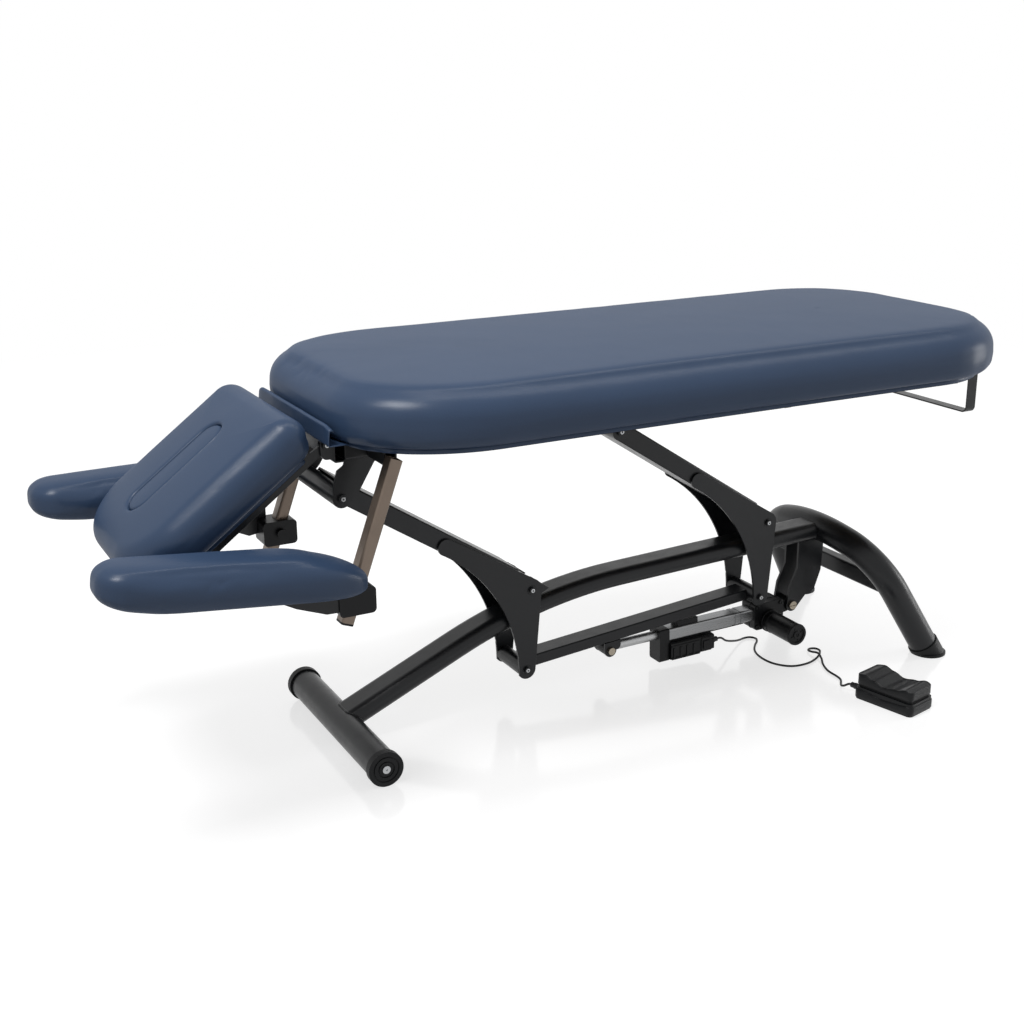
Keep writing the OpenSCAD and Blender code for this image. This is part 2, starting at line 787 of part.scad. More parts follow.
module front_arm_tube() color(black_steel) in_place() crank_arm(pivot_front);
module front_crank_plates() color(black_steel) in_place() crank_plates(pivot_front, true);
module front_top_tube() color(black_steel) in_place() crank_top(pivot_front);
module front_crank_pins() color(black_steel) in_place() crank_pins(pivot_front);
module rear_arm_tube() color(black_steel) in_place() crank_arm(pivot_rear);
module rear_crank_plates() color(black_steel) in_place() crank_plates(pivot_rear, false);
module rear_top_tube() color(black_steel) in_place() crank_top(pivot_rear);
module rear_crank_pins() color(black_steel) in_place() crank_pins(pivot_rear);

// Tie bar with the lug that the push rod pushes
tie_angle = atan2(pivot_rise, pivot_step);

module tie_bar_tube() color(black_steel) in_place() difference() {
    at(tie_front) rotate([0, -tie_angle, 0]) translate([0, 0, -tie_sink]) rotate([90, 0, 90])
        linear_extrude(height = norm([pivot_step, pivot_rise])) box_tube(tie_w, tie_h);
    for (p = [tie_front, tie_rear]) at(p) cross_cylinder(tie_end_r + weld_gap, 4 * tie_w);
}

module tie_bar_ends() color(black_steel) in_place() for (p = [tie_front, tie_rear]) at(p) difference() {
    cross_cylinder(tie_end_r, 2 * (crank_inner - side_gap));
    cross_cylinder(shaft_r + run_gap, 4 * crank_half);
}

module rod_lug() color(black_steel) in_place() difference() {
    both_sides(lug_inner + plate_t / 2) side_plate(plate_t) difference() {
        union() {
            translate([lug_x, lug_z]) circle(r = lug_r);
            translate([lug_x - lug_r, lug_z]) square([2 * lug_r, tie_h]);
            translate([lug_x + lug_bump_back - lug_bump_r, lug_z + lug_bump_r]) circle(r = lug_bump_r);
            translate([lug_x, lug_z + lug_bump_r]) square([lug_bump_back, tie_h - lug_bump_r]);
        }
        translate([lug_x, lug_z]) circle(r = lug_bolt_r + fit_gap);
    }
    at(tie_front) rotate([0, -tie_angle, 0]) translate([0, -tie_w, -tie_sink - tie_h / 2])
        cube([norm([pivot_step, pivot_rise]), 2 * tie_w, 2 * tie_h]);
}

module rod_lug_bolts() color(bright_steel) in_place() at([lug_x, lug_z]) {
    both_sides(lug_inner + plate_t / 2) cross_cylinder(lug_bolt_r, plate_t);
    both_sides(lug_inner + plate_t + bolt_head_h / 2) cross_cylinder(lug_head_r, bolt_head_h);
}

// Table frame
module hanger(p) intersection() {
    side_plate(plate_t) difference() {
        union() {
            translate(p) circle(r = top_tube_r);
            polygon([for (q = hanger_shares) p + drop_h * q]);
        }
        translate(p) circle(r = bracket_shaft_r + fit_gap);
    }
    below(rail_z);
}

module drop_brackets() color(black_steel) in_place() for (p = [top_front, top_rear])
    both_sides(drop_half - plate_t / 2) hanger(p);

module bracket_bolts() color(bright_steel) in_place() for (p = [top_front, top_rear]) at(p) {
    cross_cylinder(bracket_shaft_r, 2 * drop_half);
    both_sides(drop_half + bolt_head_h / 2) cross_cylinder(bolt_head_r, bolt_head_h);
}

module side_rails() color(black_steel) in_place() both_sides(rail_half)
    translate([rail_front, 0, rail_z + rail_h / 2]) rotate([90, 0, 90])
        linear_extrude(height = rail_rear - rail_front) box_tube(rail_w, rail_h);

// Rails across: one at the nose, one between the posts and the others along the table
module cross_rail(x, half) translate([x, half, rail_z + rail_h / 2]) rotate([90, 0, 0])
    linear_extrude(height = 2 * half) box_tube(rail_w, rail_h);

module cross_rails() color(black_steel) in_place() difference() {
    union() {
        cross_rail(rail_front - rail_w / 2 - weld_gap, hinge_half);
        cross_rail(post_top_x, post_half - post_d / 2 - weld_gap);
        for (s = rail_shares) cross_rail(cushion_l * s, cushion_w * rail_spread_share);
    }
    both_sides(rail_half) translate([rail_front, -rail_w / 2 - weld_gap, rail_z - over])
        cube([cushion_l, rail_w + 2 * weld_gap, rail_h + 2 * over]);
}

module table_board() color(plywood) in_place() translate([(cushion_front + cushion_rear) / 2, 0, board_z])
    linear_extrude(height = board_t) plan(whole_outline(table_outline()), board_inset);

module table_cushion() color(vinyl) in_place() translate([(cushion_front + cushion_rear) / 2, 0, cushion_z])
    skin(padding(
        whole_outline(table_outline()), cushion_t, cushion_edge_in, cushion_edge_down,
        (cushion_l - cushion_w) / 2, cushion_crown
    ));

module gap_flap() color(vinyl) in_place() translate([cushion_front - flap_gap, 0, cushion_z]) {
    translate([-flap_t, -flap_half, -flap_t]) cube([flap_t, 2 * flap_half, flap_h]);
    translate([0, -flap_half, -flap_t])
        cube([board_inset + flap_gap, 2 * flap_half, flap_t]);
}

module head_hinge_ears() color(black_steel) in_place() both_sides(hinge_half - plate_t / 2)
    side_plate(plate_t) difference() {
        union() {
            link([hinge_x, hinge_z], hinge_r, [ear_back_x - hinge_r, ear_mid_z], hinge_r);
            translate([ear_back_x - hinge_r, ear_mid_z - hinge_r]) square([hinge_r, 2 * hinge_r]);
        }
        translate([hinge_x, hinge_z]) circle(r = hinge_bolt_r + run_gap);
    }

// Armrest posts: the frame that slides along a post has its origin at the post's lower end
module on_post(s)
    translate([post_bottom_x, s * post_half, post_bottom_z]) rotate([0, post_lean, 0]) children();

module armrest_posts() color(bronze) in_place() for (s = [-1, 1]) on_post(s)
    linear_extrude(height = post_l) box_tube(post_w, post_d);

module post_caps() color(black_plastic) in_place() for (s = [-1, 1]) on_post(s) {
    inwards = 2 * tube_wall + weld_gap;
    translate([0, 0, -post_cap_t]) linear_extrude(height = post_cap_t)
        rounded(post_w, post_d, tube_corner_r);
    linear_extrude(height = 2 * post_cap_t)
        rounded(post_w - inwards, post_d - inwards, tube_corner_r - tube_wall);
}

// Paper roll holder: a flat strip bent down and across under the rear end
module holder_shape(d) union() {
    translate([-holder_half + d, -holder_drop + holder_bend])
        square([2 * (holder_half - d), holder_drop - holder_bend + (d > 0 ? over : 0)]);
    translate([-holder_half + holder_bend, -holder_drop + d])
        square([2 * (holder_half - holder_bend), holder_bend]);
    for (s = [-1, 1]) translate([s * (holder_half - holder_bend), -holder_drop + holder_bend])
        circle(r = holder_bend - d);
}

module paper_roll_holder() color(black_steel) in_place()
    translate([cushion_rear - holder_inset, 0, board_z]) rotate([90, 0, 90]) {
        linear_extrude(height = holder_w) difference() {
            holder_shape(0);
            holder_shape(holder_t);
        }
        for (s = [-1, 1]) translate([s * (holder_half - holder_tab / 2 - holder_t), -holder_t / 2])
            linear_extrude(height = holder_w) square([holder_tab, holder_t], center = true);
    }

// Head section, drawn level about its hinge and then tilted down
module on_head() translate([hinge_x, 0, hinge_z]) rotate([0, -head_tilt, 0]) children();

function head_outline() = half_outline(
    head_l, head_w, head_rear_r, head_rear_r, head_tip_r, head_tip_r, 0, 8
);

module slot_plan(grow) flat_oval(face_slot_l + 2 * grow, face_slot_w + 2 * grow);

module head_board() color(plywood) in_place() on_head() translate([-head_mid, 0, head_bar_h])
    linear_extrude(height = board_t) difference() {
        plan(whole_outline(head_outline()), head_board_inset);
        slot_plan(-plug_lip);
    }

module head_cushion() color(vinyl) in_place() on_head() translate([-head_mid, 0, head_rise]) difference() {
    skin(padding(
        whole_outline(head_outline()), head_t, head_edge, head_edge,
        head_l * head_ridge_share, cushion_crown
    ));
    translate([0, 0, -over]) linear_extrude(height = 2 * head_t) slot_plan(0);
}

module face_plug() color(vinyl) in_place() on_head() translate([-head_mid, 0, head_rise]) {
    o = whole_outline(half_outline(
        face_slot_l - 2 * plug_gap, face_slot_w - 2 * plug_gap, face_slot_w / 2 - plug_gap,
        face_slot_w / 2 - plug_gap, face_slot_w / 2 - plug_gap, face_slot_w / 2 - plug_gap, 0, 6
    ));
    skin(concat(
        [inset_ring(o, plug_under, 0), inset_ring(o, 0, plug_under)],
        [for (a = [0:22.5:90]) inset_ring(
            o, plug_edge_r * (1 - cos(a)), head_t + cushion_crown - plug_edge_r + plug_edge_r * sin(a)
        )],
        [crown_ring(o, plug_edge_r, head_t + cushion_crown, (face_slot_l - face_slot_w) / 2, plug_gap, 0.5)]
    ));
}

module head_frame() color(black_steel) in_place() on_head() difference() {
    bar_l = head_l * head_bar_share;
    union() {
        both_sides(head_inner - plate_t / 2) side_plate(plate_t) {
            circle(r = hinge_r);
            translate([-bar_l, -hinge_r]) square([bar_l, hinge_r + head_ear_h]);
            translate([-bar_l, -hinge_r])
                square([bar_l - head_start - head_ear_back, hinge_r + head_bar_h]);
        }
        for (s = head_cross_shares) translate([-head_start - head_l * s, -head_inner + plate_t, -hinge_r])
            cube([rail_w, 2 * (head_inner - plate_t), hinge_r + head_bar_h]);
    }
    cross_cylinder(hinge_bolt_r + fit_gap, 4 * hinge_half);
}

module head_hinge_bolts() color(bright_steel) in_place() at([hinge_x, hinge_z]) for (s = [-1, 1]) {
    translate([0, s * (hinge_half + side_gap + head_inner - plate_t) / 2, 0])
        cross_cylinder(hinge_bolt_r, hinge_half + side_gap - head_inner + plate_t);
    translate([0, s * (hinge_half + side_gap + bolt_head_h / 2), 0])
        cross_cylinder(hinge_head_r, bolt_head_h);
}

// Armrests
function clamp_at(s) = let (up = clamp_up + (s > 0 ? left_clamp_raise : 0))
    [post_bottom_x + up * sin(post_lean), post_bottom_z + up * cos(post_lean)];

module clamp_block(s) translate([clamp_at(s).x, s * post_half, clamp_at(s).y]) side_plate(clamp_d)
    rounded(clamp_w, clamp_h, clamp_round);

module clamp(s) difference() {
    clamp_block(s);
    on_post(s) translate([0, 0, -post_l]) linear_extrude(height = 2 * post_l)
        rounded(post_w + 2 * clamp_gap, post_d + 2 * clamp_gap, tube_corner_r + clamp_gap);
    translate([clamp_at(s).x, s * (post_half - clamp_d / 2), clamp_at(s).y])
        cross_cylinder(clamp_screw_r + fit_gap, clamp_d);
}

module clamp_screw(s) {
    shank = (clamp_d - post_d) / 2 - clamp_gap;
    translate([clamp_at(s).x, s * (post_half - clamp_d / 2 + shank / 2), clamp_at(s).y])
        cross_cylinder(clamp_screw_r, shank);
    translate([clamp_at(s).x, s * (post_half - clamp_d / 2 - screw_knob_r / 2), clamp_at(s).y])
        cross_cylinder(screw_knob_r, screw_knob_r);
}

module on_pad(s) translate([pad_mid_x, s * pad_half, pad_mid_z + (s > 0 ? left_pad_raise : 0)])
    rotate([0, s > 0 ? left_slope : right_slope, 0]) children();

module pad_arm(s) difference() {
    reach = s > 0 ? left_arm_share : 1;
    on_pad(s) {
        translate([0, -s * pad_arm_in, 0]) side_plate(pad_arm_t)
            polygon([for (p = pad_arm_shares) [pad_l * p.x, pad_t * p.y * reach]]);
        translate([pad_l * pad_arm_shares[0].x, -s * pad_arm_in - pad_flange_w / 2, -pad_flange_t])
            cube([pad_l * (pad_arm_shares[3].x - pad_arm_shares[0].x), pad_flange_w, pad_flange_t]);
    }
    clamp_block(s);
}

// The pad's top falls towards its rear end, and its underside rises at the front end.
// Each bend starts at a share of the length from the middle and deepens with the square.
function deepens(t, from) = max(0, (t - from) / (0.5 - from)) ^ 2;
function pad_fall(x) = 1 - pad_fall_share * deepens(x / pad_l, pad_fall_from_share);
function pad_rise(x) = 1 - pad_rise_share * deepens(-x / pad_l, pad_rise_from_share);
function pad_level(p) = pad_t - (pad_t - p.z * pad_fall(p.x)) * pad_rise(p.x);

module arm_pad(s) on_pad(s) {
    front_r = pad_w * pad_front_share;
    o = whole_outline(half_outline(
        pad_l, pad_w, pad_l * pad_rear_share, pad_w / 2, front_r, front_r, 0, 9
    ));
    rings = padding(o, pad_t, pad_edge_in, pad_edge_down, (pad_l - pad_w) / 2, cushion_crown);
    skin([for (ring = rings) [for (p = ring) [p.x, p.y, pad_level(p)]]]);
}

module left_arm_pad() color(vinyl) in_place() arm_pad(1);
module left_pad_arm() color(black_steel) in_place() pad_arm(1);
module left_clamp() color(black_plastic) in_place() clamp(1);
module left_clamp_screw() color(bright_steel) in_place() clamp_screw(1);
module right_arm_pad() color(vinyl) in_place() arm_pad(-1);
module right_pad_arm() color(black_steel) in_place() pad_arm(-1);
module right_clamp() color(black_plastic) in_place() clamp(-1);
module right_clamp_screw() color(bright_steel) in_place() clamp_screw(-1);

// Actuator, drawn along its axis from the rear pin forwards
module on_actuator() translate([mount_x, 0, axis_z]) rotate([0, -actuator_angle, 0]) children();

module lengthwise(x, l) translate([x, 0, 0]) rotate([90, 0, 90]) linear_extrude(height = l) children();

housing_front = -housing_start - housing_l;

module actuator_housing() color(aluminium) in_place() on_actuator() difference() {
    lengthwise(housing_front, housing_l) rounded(housing_w, housing_h, tube_corner_r);
    lengthwise(housing_front - over, housing_l + 2 * over) circle(r = bore_r);
    for (s = band_shares) lengthwise(housing_front + housing_l * s, band_w) difference() {
        square([2 * housing_w, 2 * housing_h], center = true);
        rounded(housing_w - 2 * band_d, housing_h - 2 * band_d, tube_corner_r - band_d);
    }
}

module actuator_front_cap() color(black_plastic) in_place() on_actuator() difference() {
    lengthwise(housing_front - front_cap_l, front_cap_l)
        translate([0, (front_cap_up - front_cap_down) / 2])
            rounded(front_cap_w, front_cap_up + front_cap_down, tube_corner_r);
    lengthwise(housing_front - front_cap_l - over, front_cap_l + 2 * over) circle(r = rod_r + run_gap);
}

module gear_housing() color(black_plastic) in_place() on_actuator() difference() {
    union() {
        translate([-(housing_start + gear_start) / 2, 0, -gear_sink]) side_plate(gear_w)
            rounded(housing_start - gear_start, gear_h, 2 * tube_corner_r);
        side_plate(2 * (mount_inner - eye_gap))
            link(pin_at, eye_r, [-gear_start - eye_r, 0], eye_r);
    }
    at(pin_at) cross_cylinder(mount_bolt_r + run_gap, 4 * mount_inner);
}

module actuator_motor() color(black_plastic) in_place() on_actuator()
    translate([-motor_back, -gear_w / 2 - motor_l / 2, -motor_sink]) difference() {
        cross_cylinder(motor_r, motor_l);
        translate([0, -motor_l / 2, 0]) cross_cylinder(motor_r - 2 * tube_wall, 2 * tube_wall);
    }

module lead_screw() color(bright_steel) in_place() on_actuator()
    lengthwise(housing_front + 2 * front_cap_l, housing_l - 2 * front_cap_l) circle(r = screw_r);

module control_box() color(black_plastic) in_place() on_actuator() {
    top = -housing_h / 2 - strip_h;
    front_l = control_l * (1 - rear_block_share);
    lengthwise(housing_front, front_l) translate([-control_side, top - control_h / 2])
        rounded(control_w, control_h, tube_corner_r);
    lengthwise(housing_front + front_l, control_l - front_l)
        translate([-control_side, top - control_h / 2])
            rounded(control_w - tube_corner_r, control_h - tube_wall, tube_corner_r);
    lengthwise(housing_front, strip_l) translate([0, top + strip_h / 2])
        square([housing_w - 2 * tube_corner_r, strip_h], center = true);
    lengthwise(housing_front + clip_start, clip_l) translate([0, (housing_h + clip_h) / 2])
        square([housing_w - 2 * tube_corner_r, clip_h], center = true);
}

gland_y = -control_side - control_w / 2 + 2 * gland_r;
gland_z = -housing_h / 2 - strip_h - control_h / 2;

module cord_gland() color(black_plastic) in_place() on_actuator()
    translate([housing_front + control_l, gland_y, gland_z]) rotate([0, 90, 0]) difference() {
        union() {
            cylinder(r = gland_r, h = gland_l / 2);
            cylinder(r = gland_r - over, h = gland_l);
        }
        translate([0, 0, tube_wall]) cylinder(r = cord_r + gland_play, h = gland_l);
    }

module push_rod() color(bright_steel) in_place() on_actuator() difference() {
    union() {
        lengthwise(-rod_reach, rod_length) circle(r = rod_r);
        at([-rod_reach, 0]) cross_cylinder(eye_r, 2 * (lug_inner - eye_gap));
    }
    lengthwise(-rod_reach + rod_solid_l, rod_length) circle(r = screw_r + side_gap);
}

// Foot switch
module on_switch() translate([switch_x, switch_y, 0]) rotate([0, 0, switch_turn]) children();

module switch_base() color(black_plastic) in_place() on_switch() {
    difference() {
        union() {
            linear_extrude(height = switch_base_h) rounded(switch_w, switch_l, switch_round);
            linear_extrude(height = switch_base_h + tier_h)
                rounded(rocker_w, rocker_l, switch_round - tier_inset + over);
        }
        translate([-hub_half - over, 0, switch_pin_z]) rotate([0, 90, 0])
            cylinder(r = switch_hub_r + over, h = 2 * (hub_half + over));
        translate([-hub_half - over, -switch_hub_r - over, switch_pin_z])
            cube([2 * (hub_half + over), 2 * (switch_hub_r + over), switch_base_h]);
    }
    translate([-hub_half - 2 * over, 0, switch_pin_z]) rotate([0, 90, 0])
        cylinder(r = switch_pin_r, h = 2 * (hub_half + 2 * over));
}

rocker_z = switch_base_h + tier_h + rocker_gap;
rocker_w = switch_w - 2 * tier_inset;
rocker_l = switch_l - 2 * tier_inset;

module switch_rocker() color(black_plastic) in_place() on_switch() difference() {
    union() {
        translate([-rocker_w / 2, 0, rocker_z]) rotate([90, 0, 90]) linear_extrude(height = rocker_w)
            polygon(concat(
                [[-rocker_l / 2, 0]],
                [for (t = [-1:1 / 24:1]) [rocker_l * t / 2, wave(t) * rocker_t]],
                [[rocker_l / 2, 0]]
            ));
        translate([-hub_half, 0, switch_pin_z]) rotate([0, 90, 0])
            cylinder(r = switch_hub_r, h = 2 * hub_half);
        translate([-hub_half, -rocker_web / 2, switch_pin_z])
            cube([2 * hub_half, rocker_web, rocker_z - switch_pin_z + over]);
    }
    translate([-hub_half - over, 0, switch_pin_z]) rotate([0, 90, 0])
        cylinder(r = switch_pin_r + run_gap, h = 2 * (hub_half + over));
}

// Height of the wavy plate at t from end to end, smooth between the given points
function eased(a, b, q) = a + (b - a) * (1 - cos(180 * q)) / 2;
function wave(t, i = 0) =
    let (a = rocker_wave_shares[i], b = rocker_wave_shares[i + 1])
    t <= b.x || i == len(rocker_wave_shares) - 2
        ? eased(a.y, b.y, (t - a.x) / (b.x - a.x))
        : wave(t, i + 1);

module switch_gland() color(black_plastic) in_place() on_switch()
    translate([switch_gland_x, switch_l / 2, switch_gland_z]) rotate([-90, 0, 0]) difference() {
        union() {
            cylinder(r = gland_r, h = switch_gland_l / 2);
            cylinder(r = gland_r - over, h = switch_gland_l);
        }
        translate([0, 0, tube_wall]) cylinder(r = cord_r + clamp_gap, h = switch_gland_l);
    }

// Cord: a round section carried along a smooth curve through the route points
function turned(v, a) = [v.x * cos(a) - v.y * sin(a), v.x * sin(a) + v.y * cos(a), v.z];
function from_actuator(p) = [
    mount_x + p.x * cos(actuator_angle) - p.z * sin(actuator_angle), p.y,
    axis_z + p.x * sin(actuator_angle) + p.z * cos(actuator_angle)
];
function from_switch(p) = [switch_x, switch_y, 0] + turned(p, switch_turn);

cord_route = concat(
    [for (d = [tube_wall + 3 * over, gland_l, gland_l + gland_r])
        from_actuator([housing_front + control_l + d, gland_y, gland_z])],
    cord_mid,
    [for (p = [[3 * gland_r, 4 * cord_r], [gland_r / 3, switch_gland_z], [0, switch_gland_z],
        [tube_wall + over - switch_gland_l, switch_gland_z]])
        from_switch([switch_gland_x, switch_l / 2 + switch_gland_l + p.x, p.y])]
);

function curve_point(a, b, c, d, t) = 0.5 * (
    2 * b + (c - a) * t + (2 * a - 5 * b + 4 * c - d) * t ^ 2 + (3 * b - a - 3 * c + d) * t ^ 3
);
function clamped(i) = cord_route[min(max(i, 0), len(cord_route) - 1)];
function on_cord(s) = let (i = min(floor(s), len(cord_route) - 2), t = s - i,
    p = curve_point(clamped(i - 1), clamped(i), clamped(i + 1), clamped(i + 2), t))
    [p.x, p.y, max(p.z, cord_r)];

module switch_cord() color(black_plastic) in_place() {
    n = (len(cord_route) - 1) * cord_steps;
    path = [for (k = [0:n]) on_cord(k / cord_steps)];
    rings = [for (k = [0:n]) let (
        d = path[min(k + 1, n)] - path[max(k - 1, 0)], along = d / norm(d),
        side = cross(along, [0, 0, 1]) / norm(cross(along, [0, 0, 1])), up = cross(side, along)
    ) [for (j = [0:cord_sides - 1]) let (a = 360 * j / cord_sides)
        path[k] + cord_r * (cos(a) * side + sin(a) * up)]];
    skin(rings);
}

foot_bar();
foot_caps();
cap_screws();
spine_tube();
pivot_saddles();
rear_arch();
rear_feet();
rear_stretcher();
actuator_brackets();
actuator_bolt();
front_arm_tube();
front_crank_plates();
front_top_tube();
front_crank_pins();
rear_arm_tube();
rear_crank_plates();
rear_top_tube();
rear_crank_pins();
tie_bar_tube();
tie_bar_ends();
rod_lug();
rod_lug_bolts();
drop_brackets();
bracket_bolts();
side_rails();
cross_rails();
table_board();
table_cushion();
gap_flap();
head_hinge_ears();
armrest_posts();
post_caps();
paper_roll_holder();
head_board();
head_frame();
head_hinge_bolts();
head_cushion();
face_plug();
left_arm_pad();
left_pad_arm();
left_clamp();
left_clamp_screw();
right_arm_pad();
right_pad_arm();
right_clamp();
right_clamp_screw();
actuator_housing();
actuator_front_cap();
gear_housing();
actuator_motor();
lead_screw();
control_box();
cord_gland();
push_rod();
switch_base();
switch_gland();
switch_cord();
switch_rocker();
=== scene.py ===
import math

import bmesh
import bpy
import numpy as np
from mathutils import Matrix, Vector, noise


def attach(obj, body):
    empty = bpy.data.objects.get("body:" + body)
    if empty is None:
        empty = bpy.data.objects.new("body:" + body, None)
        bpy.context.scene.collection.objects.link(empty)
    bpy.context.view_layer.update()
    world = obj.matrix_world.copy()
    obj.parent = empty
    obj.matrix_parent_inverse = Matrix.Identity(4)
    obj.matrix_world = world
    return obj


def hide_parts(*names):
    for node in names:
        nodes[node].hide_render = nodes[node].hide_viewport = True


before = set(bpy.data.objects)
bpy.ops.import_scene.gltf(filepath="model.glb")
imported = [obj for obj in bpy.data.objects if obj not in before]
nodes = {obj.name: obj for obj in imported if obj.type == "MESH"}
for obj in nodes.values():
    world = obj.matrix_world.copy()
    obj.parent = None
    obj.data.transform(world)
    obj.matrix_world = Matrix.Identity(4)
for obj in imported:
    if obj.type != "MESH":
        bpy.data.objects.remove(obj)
for name in ("Cube", "Light", "Camera"):
    if name in bpy.data.objects and name not in nodes:
        bpy.data.objects.remove(bpy.data.objects[name])
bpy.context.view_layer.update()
scene = bpy.context.scene
scene.view_settings.view_transform = "Standard"

# Lengths are millimetres in the frame of the part's source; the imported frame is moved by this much
SHIFT = (-494.0, 66.7618, 0.0)


def place(x, y, z):
    return Vector((x + SHIFT[0], y + SHIFT[1], z + SHIFT[2])) / 1000


# Camera, with its focal length as a multiple of the picture's width
def make_camera():
    yaw, pitch, roll, focal = 0.483, 0.307, -0.008, 1.3955557
    level = Vector((math.sin(yaw), math.cos(yaw), 0))
    ahead = level * math.cos(pitch) - Vector((0, 0, math.sin(pitch)))
    right = Vector((math.cos(yaw), -math.sin(yaw), 0))
    up = right.cross(ahead)
    across = right * math.cos(roll) + up * math.sin(roll)
    over = up * math.cos(roll) - right * math.sin(roll)
    data = bpy.data.cameras.new("camera")
    data.sensor_width = 36
    data.lens = data.sensor_width * focal
    data.clip_start, data.clip_end = 0.05, 60
    cam = bpy.data.objects.new("camera", data)
    turn = Matrix((across, over, -ahead)).transposed().to_4x4()
    cam.matrix_world = Matrix.Translation(place(-926.316, -2523.533, 1331.682)) @ turn
    scene.collection.objects.link(cam)
    scene.camera = cam


make_camera()


# Where the actuator and the foot switch stand, as in the part's source
MOUNT_X, AXIS_Z = 1132.0, 84.0
ROD_EYE_X, ROD_EYE_Z = 630.0, 75.0
ACT_TURN = math.atan2(AXIS_Z - ROD_EYE_Z, MOUNT_X - ROD_EYE_X)
SWITCH_AT = (1109.0, -408.0)
SWITCH_TURN = math.radians(13.4)


def from_actuator(x, y, z):
    c, s = math.cos(ACT_TURN), math.sin(ACT_TURN)
    return (MOUNT_X + x * c - z * s, y, AXIS_Z + x * s + z * c)


def from_switch(x, y, z):
    c, s = math.cos(SWITCH_TURN), math.sin(SWITCH_TURN)
    return (SWITCH_AT[0] + x * c - y * s, SWITCH_AT[1] + x * s + y * c, z)


# Foot switch cord, on one smooth spline: it passes over itself in a low hump before the switch
CORD_R = 2.5
BOX_GLAND = (-223, -15, -38)
SWITCH_GLAND = (-27, 89)


def cord_route():
    gland_x, gland_y, gland_z = BOX_GLAND
    route = [from_actuator(gland_x + d, gland_y, gland_z) for d in (6, 14, 21)]
    route += [(958, -6, 27), (990, 9, 14), (1020, 24, 5)]
    route += [(x, y, CORD_R) for x, y in (
        (1041, 32.5), (1056, 30), (1063, 17), (1056, 3), (1040, -12), (1016, -42), (1004, -84),
        (1010, -126), (1034, -154), (1070, -160), (1112, -147), (1143.5, -122.5), (1151, -111.5),
        (1148, -99), (1137, -94.5),
    )]
    route += [(1126.5, -101, 3.4), (1124, -115, 5.4), (1128, -132, 7.8), (1121, -154, 5.6)]
    route += [(1105, -180, 3.2), (1092, -212, CORD_R), (1086, -262, CORD_R)]
    x, y = SWITCH_GLAND
    return route + [from_switch(x, y + d, z) for d, z in ((21, 10), (7 / 3, 20), (0, 20), (-14, 20))]


def bezier_at(ends, t):
    """Point of a cubic curve, given its two ends with the handles between them."""
    a, b, c, d = ends
    return a * (1 - t) ** 3 + b * 3 * t * (1 - t) ** 2 + c * 3 * t * t * (1 - t) + d * t ** 3


def make_cord():
    pts = [place(*p) for p in cord_route()]
    curve = bpy.data.curves.new("foot_switch_cord", "CURVE")
    curve.dimensions = "3D"
    curve.bevel_depth = CORD_R / 1000
    curve.bevel_resolution = 6
    curve.resolution_u = 10
    curve.use_fill_caps = True
    spline = curve.splines.new("BEZIER")
    spline.bezier_points.add(len(pts) - 1)
    on_floor = CORD_R / 1000 + 1e-6
    for i, p in enumerate(pts):
        before = p - pts[i - 1] if i > 0 else pts[1] - p
        after = pts[i + 1] - p if i < len(pts) - 1 else before
        along = before / before.length_squared + after / after.length_squared
        if p.z < on_floor:
            along.z = 0
        along.normalize()
        point = spline.bezier_points[i]
        point.handle_left_type = point.handle_right_type = "FREE"
        point.co = p
        point.handle_left = p - along * before.length / 3
        point.handle_right = p + along * after.length / 3
    length = 0.0
    steps = 24
    for a, b in zip(spline.bezier_points[:-1], spline.bezier_points[1:]):
        ends = (a.co, a.handle_right, b.handle_left, b.co)
        places = [bezier_at(ends, k / steps) for k in range(steps + 1)]
        length += sum((q - p).length for p, q in zip(places, places[1:]))
    obj = bpy.data.objects.new("foot_switch_cord", curve)
    scene.collection.objects.link(obj)
    return obj, pts[0], length


cord, cord_exit, cord_length = make_cord()


# Materials
def start_material(name, color, rough, metallic=0.0, specular=0.5):
    mat = bpy.data.materials.new(name)
    mat.use_nodes = True
    tree = mat.node_tree
    tree.nodes.clear()
    out = tree.nodes.new("ShaderNodeOutputMaterial")
    shader = tree.nodes.new("ShaderNodeBsdfPrincipled")
    shader.inputs["Base Color"].default_value = (*color, 1)
    shader.inputs["Roughness"].default_value = rough
    shader.inputs["Metallic"].default_value = metallic
    shader.inputs["Specular IOR Level"].default_value = specular
    tree.links.new(shader.outputs[0], out.inputs[0])
    return mat, tree, shader


def coords(tree, scale=(1, 1, 1), turn=(0, 0, 0)):
    source = tree.nodes.new("ShaderNodeTexCoord")
    mapping = tree.nodes.new("ShaderNodeMapping")
    mapping.inputs["Scale"].default_value = scale
    mapping.inputs["Rotation"].default_value = turn
    tree.links.new(source.outputs["Object"], mapping.inputs[0])
    return mapping.outputs[0]


def noise_of(tree, vector, scale, detail=3, rough=0.5, warp=0):
    tex = tree.nodes.new("ShaderNodeTexNoise")
    tex.inputs["Scale"].default_value = scale
    tex.inputs["Detail"].default_value = detail
    tex.inputs["Roughness"].default_value = rough
    tex.inputs["Distortion"].default_value = warp
    tree.links.new(vector, tex.inputs["Vector"])
    return tex.outputs["Fac"]


def ramp(tree, value, low, high, a, b):
    node = tree.nodes.new("ShaderNodeMapRange")
    node.inputs["From Min"].default_value = low
    node.inputs["From Max"].default_value = high
    node.inputs["To Min"].default_value = a
    node.inputs["To Max"].default_value = b
    tree.links.new(value, node.inputs["Value"])
    return node.outputs[0]


def blend_color(tree, value, dark, light):
    node = tree.nodes.new("ShaderNodeMix")
    node.data_type = "RGBA"
    node.inputs[6].default_value = (*dark, 1)
    node.inputs[7].default_value = (*light, 1)
    tree.links.new(value, node.inputs[0])
    return node.outputs[2]


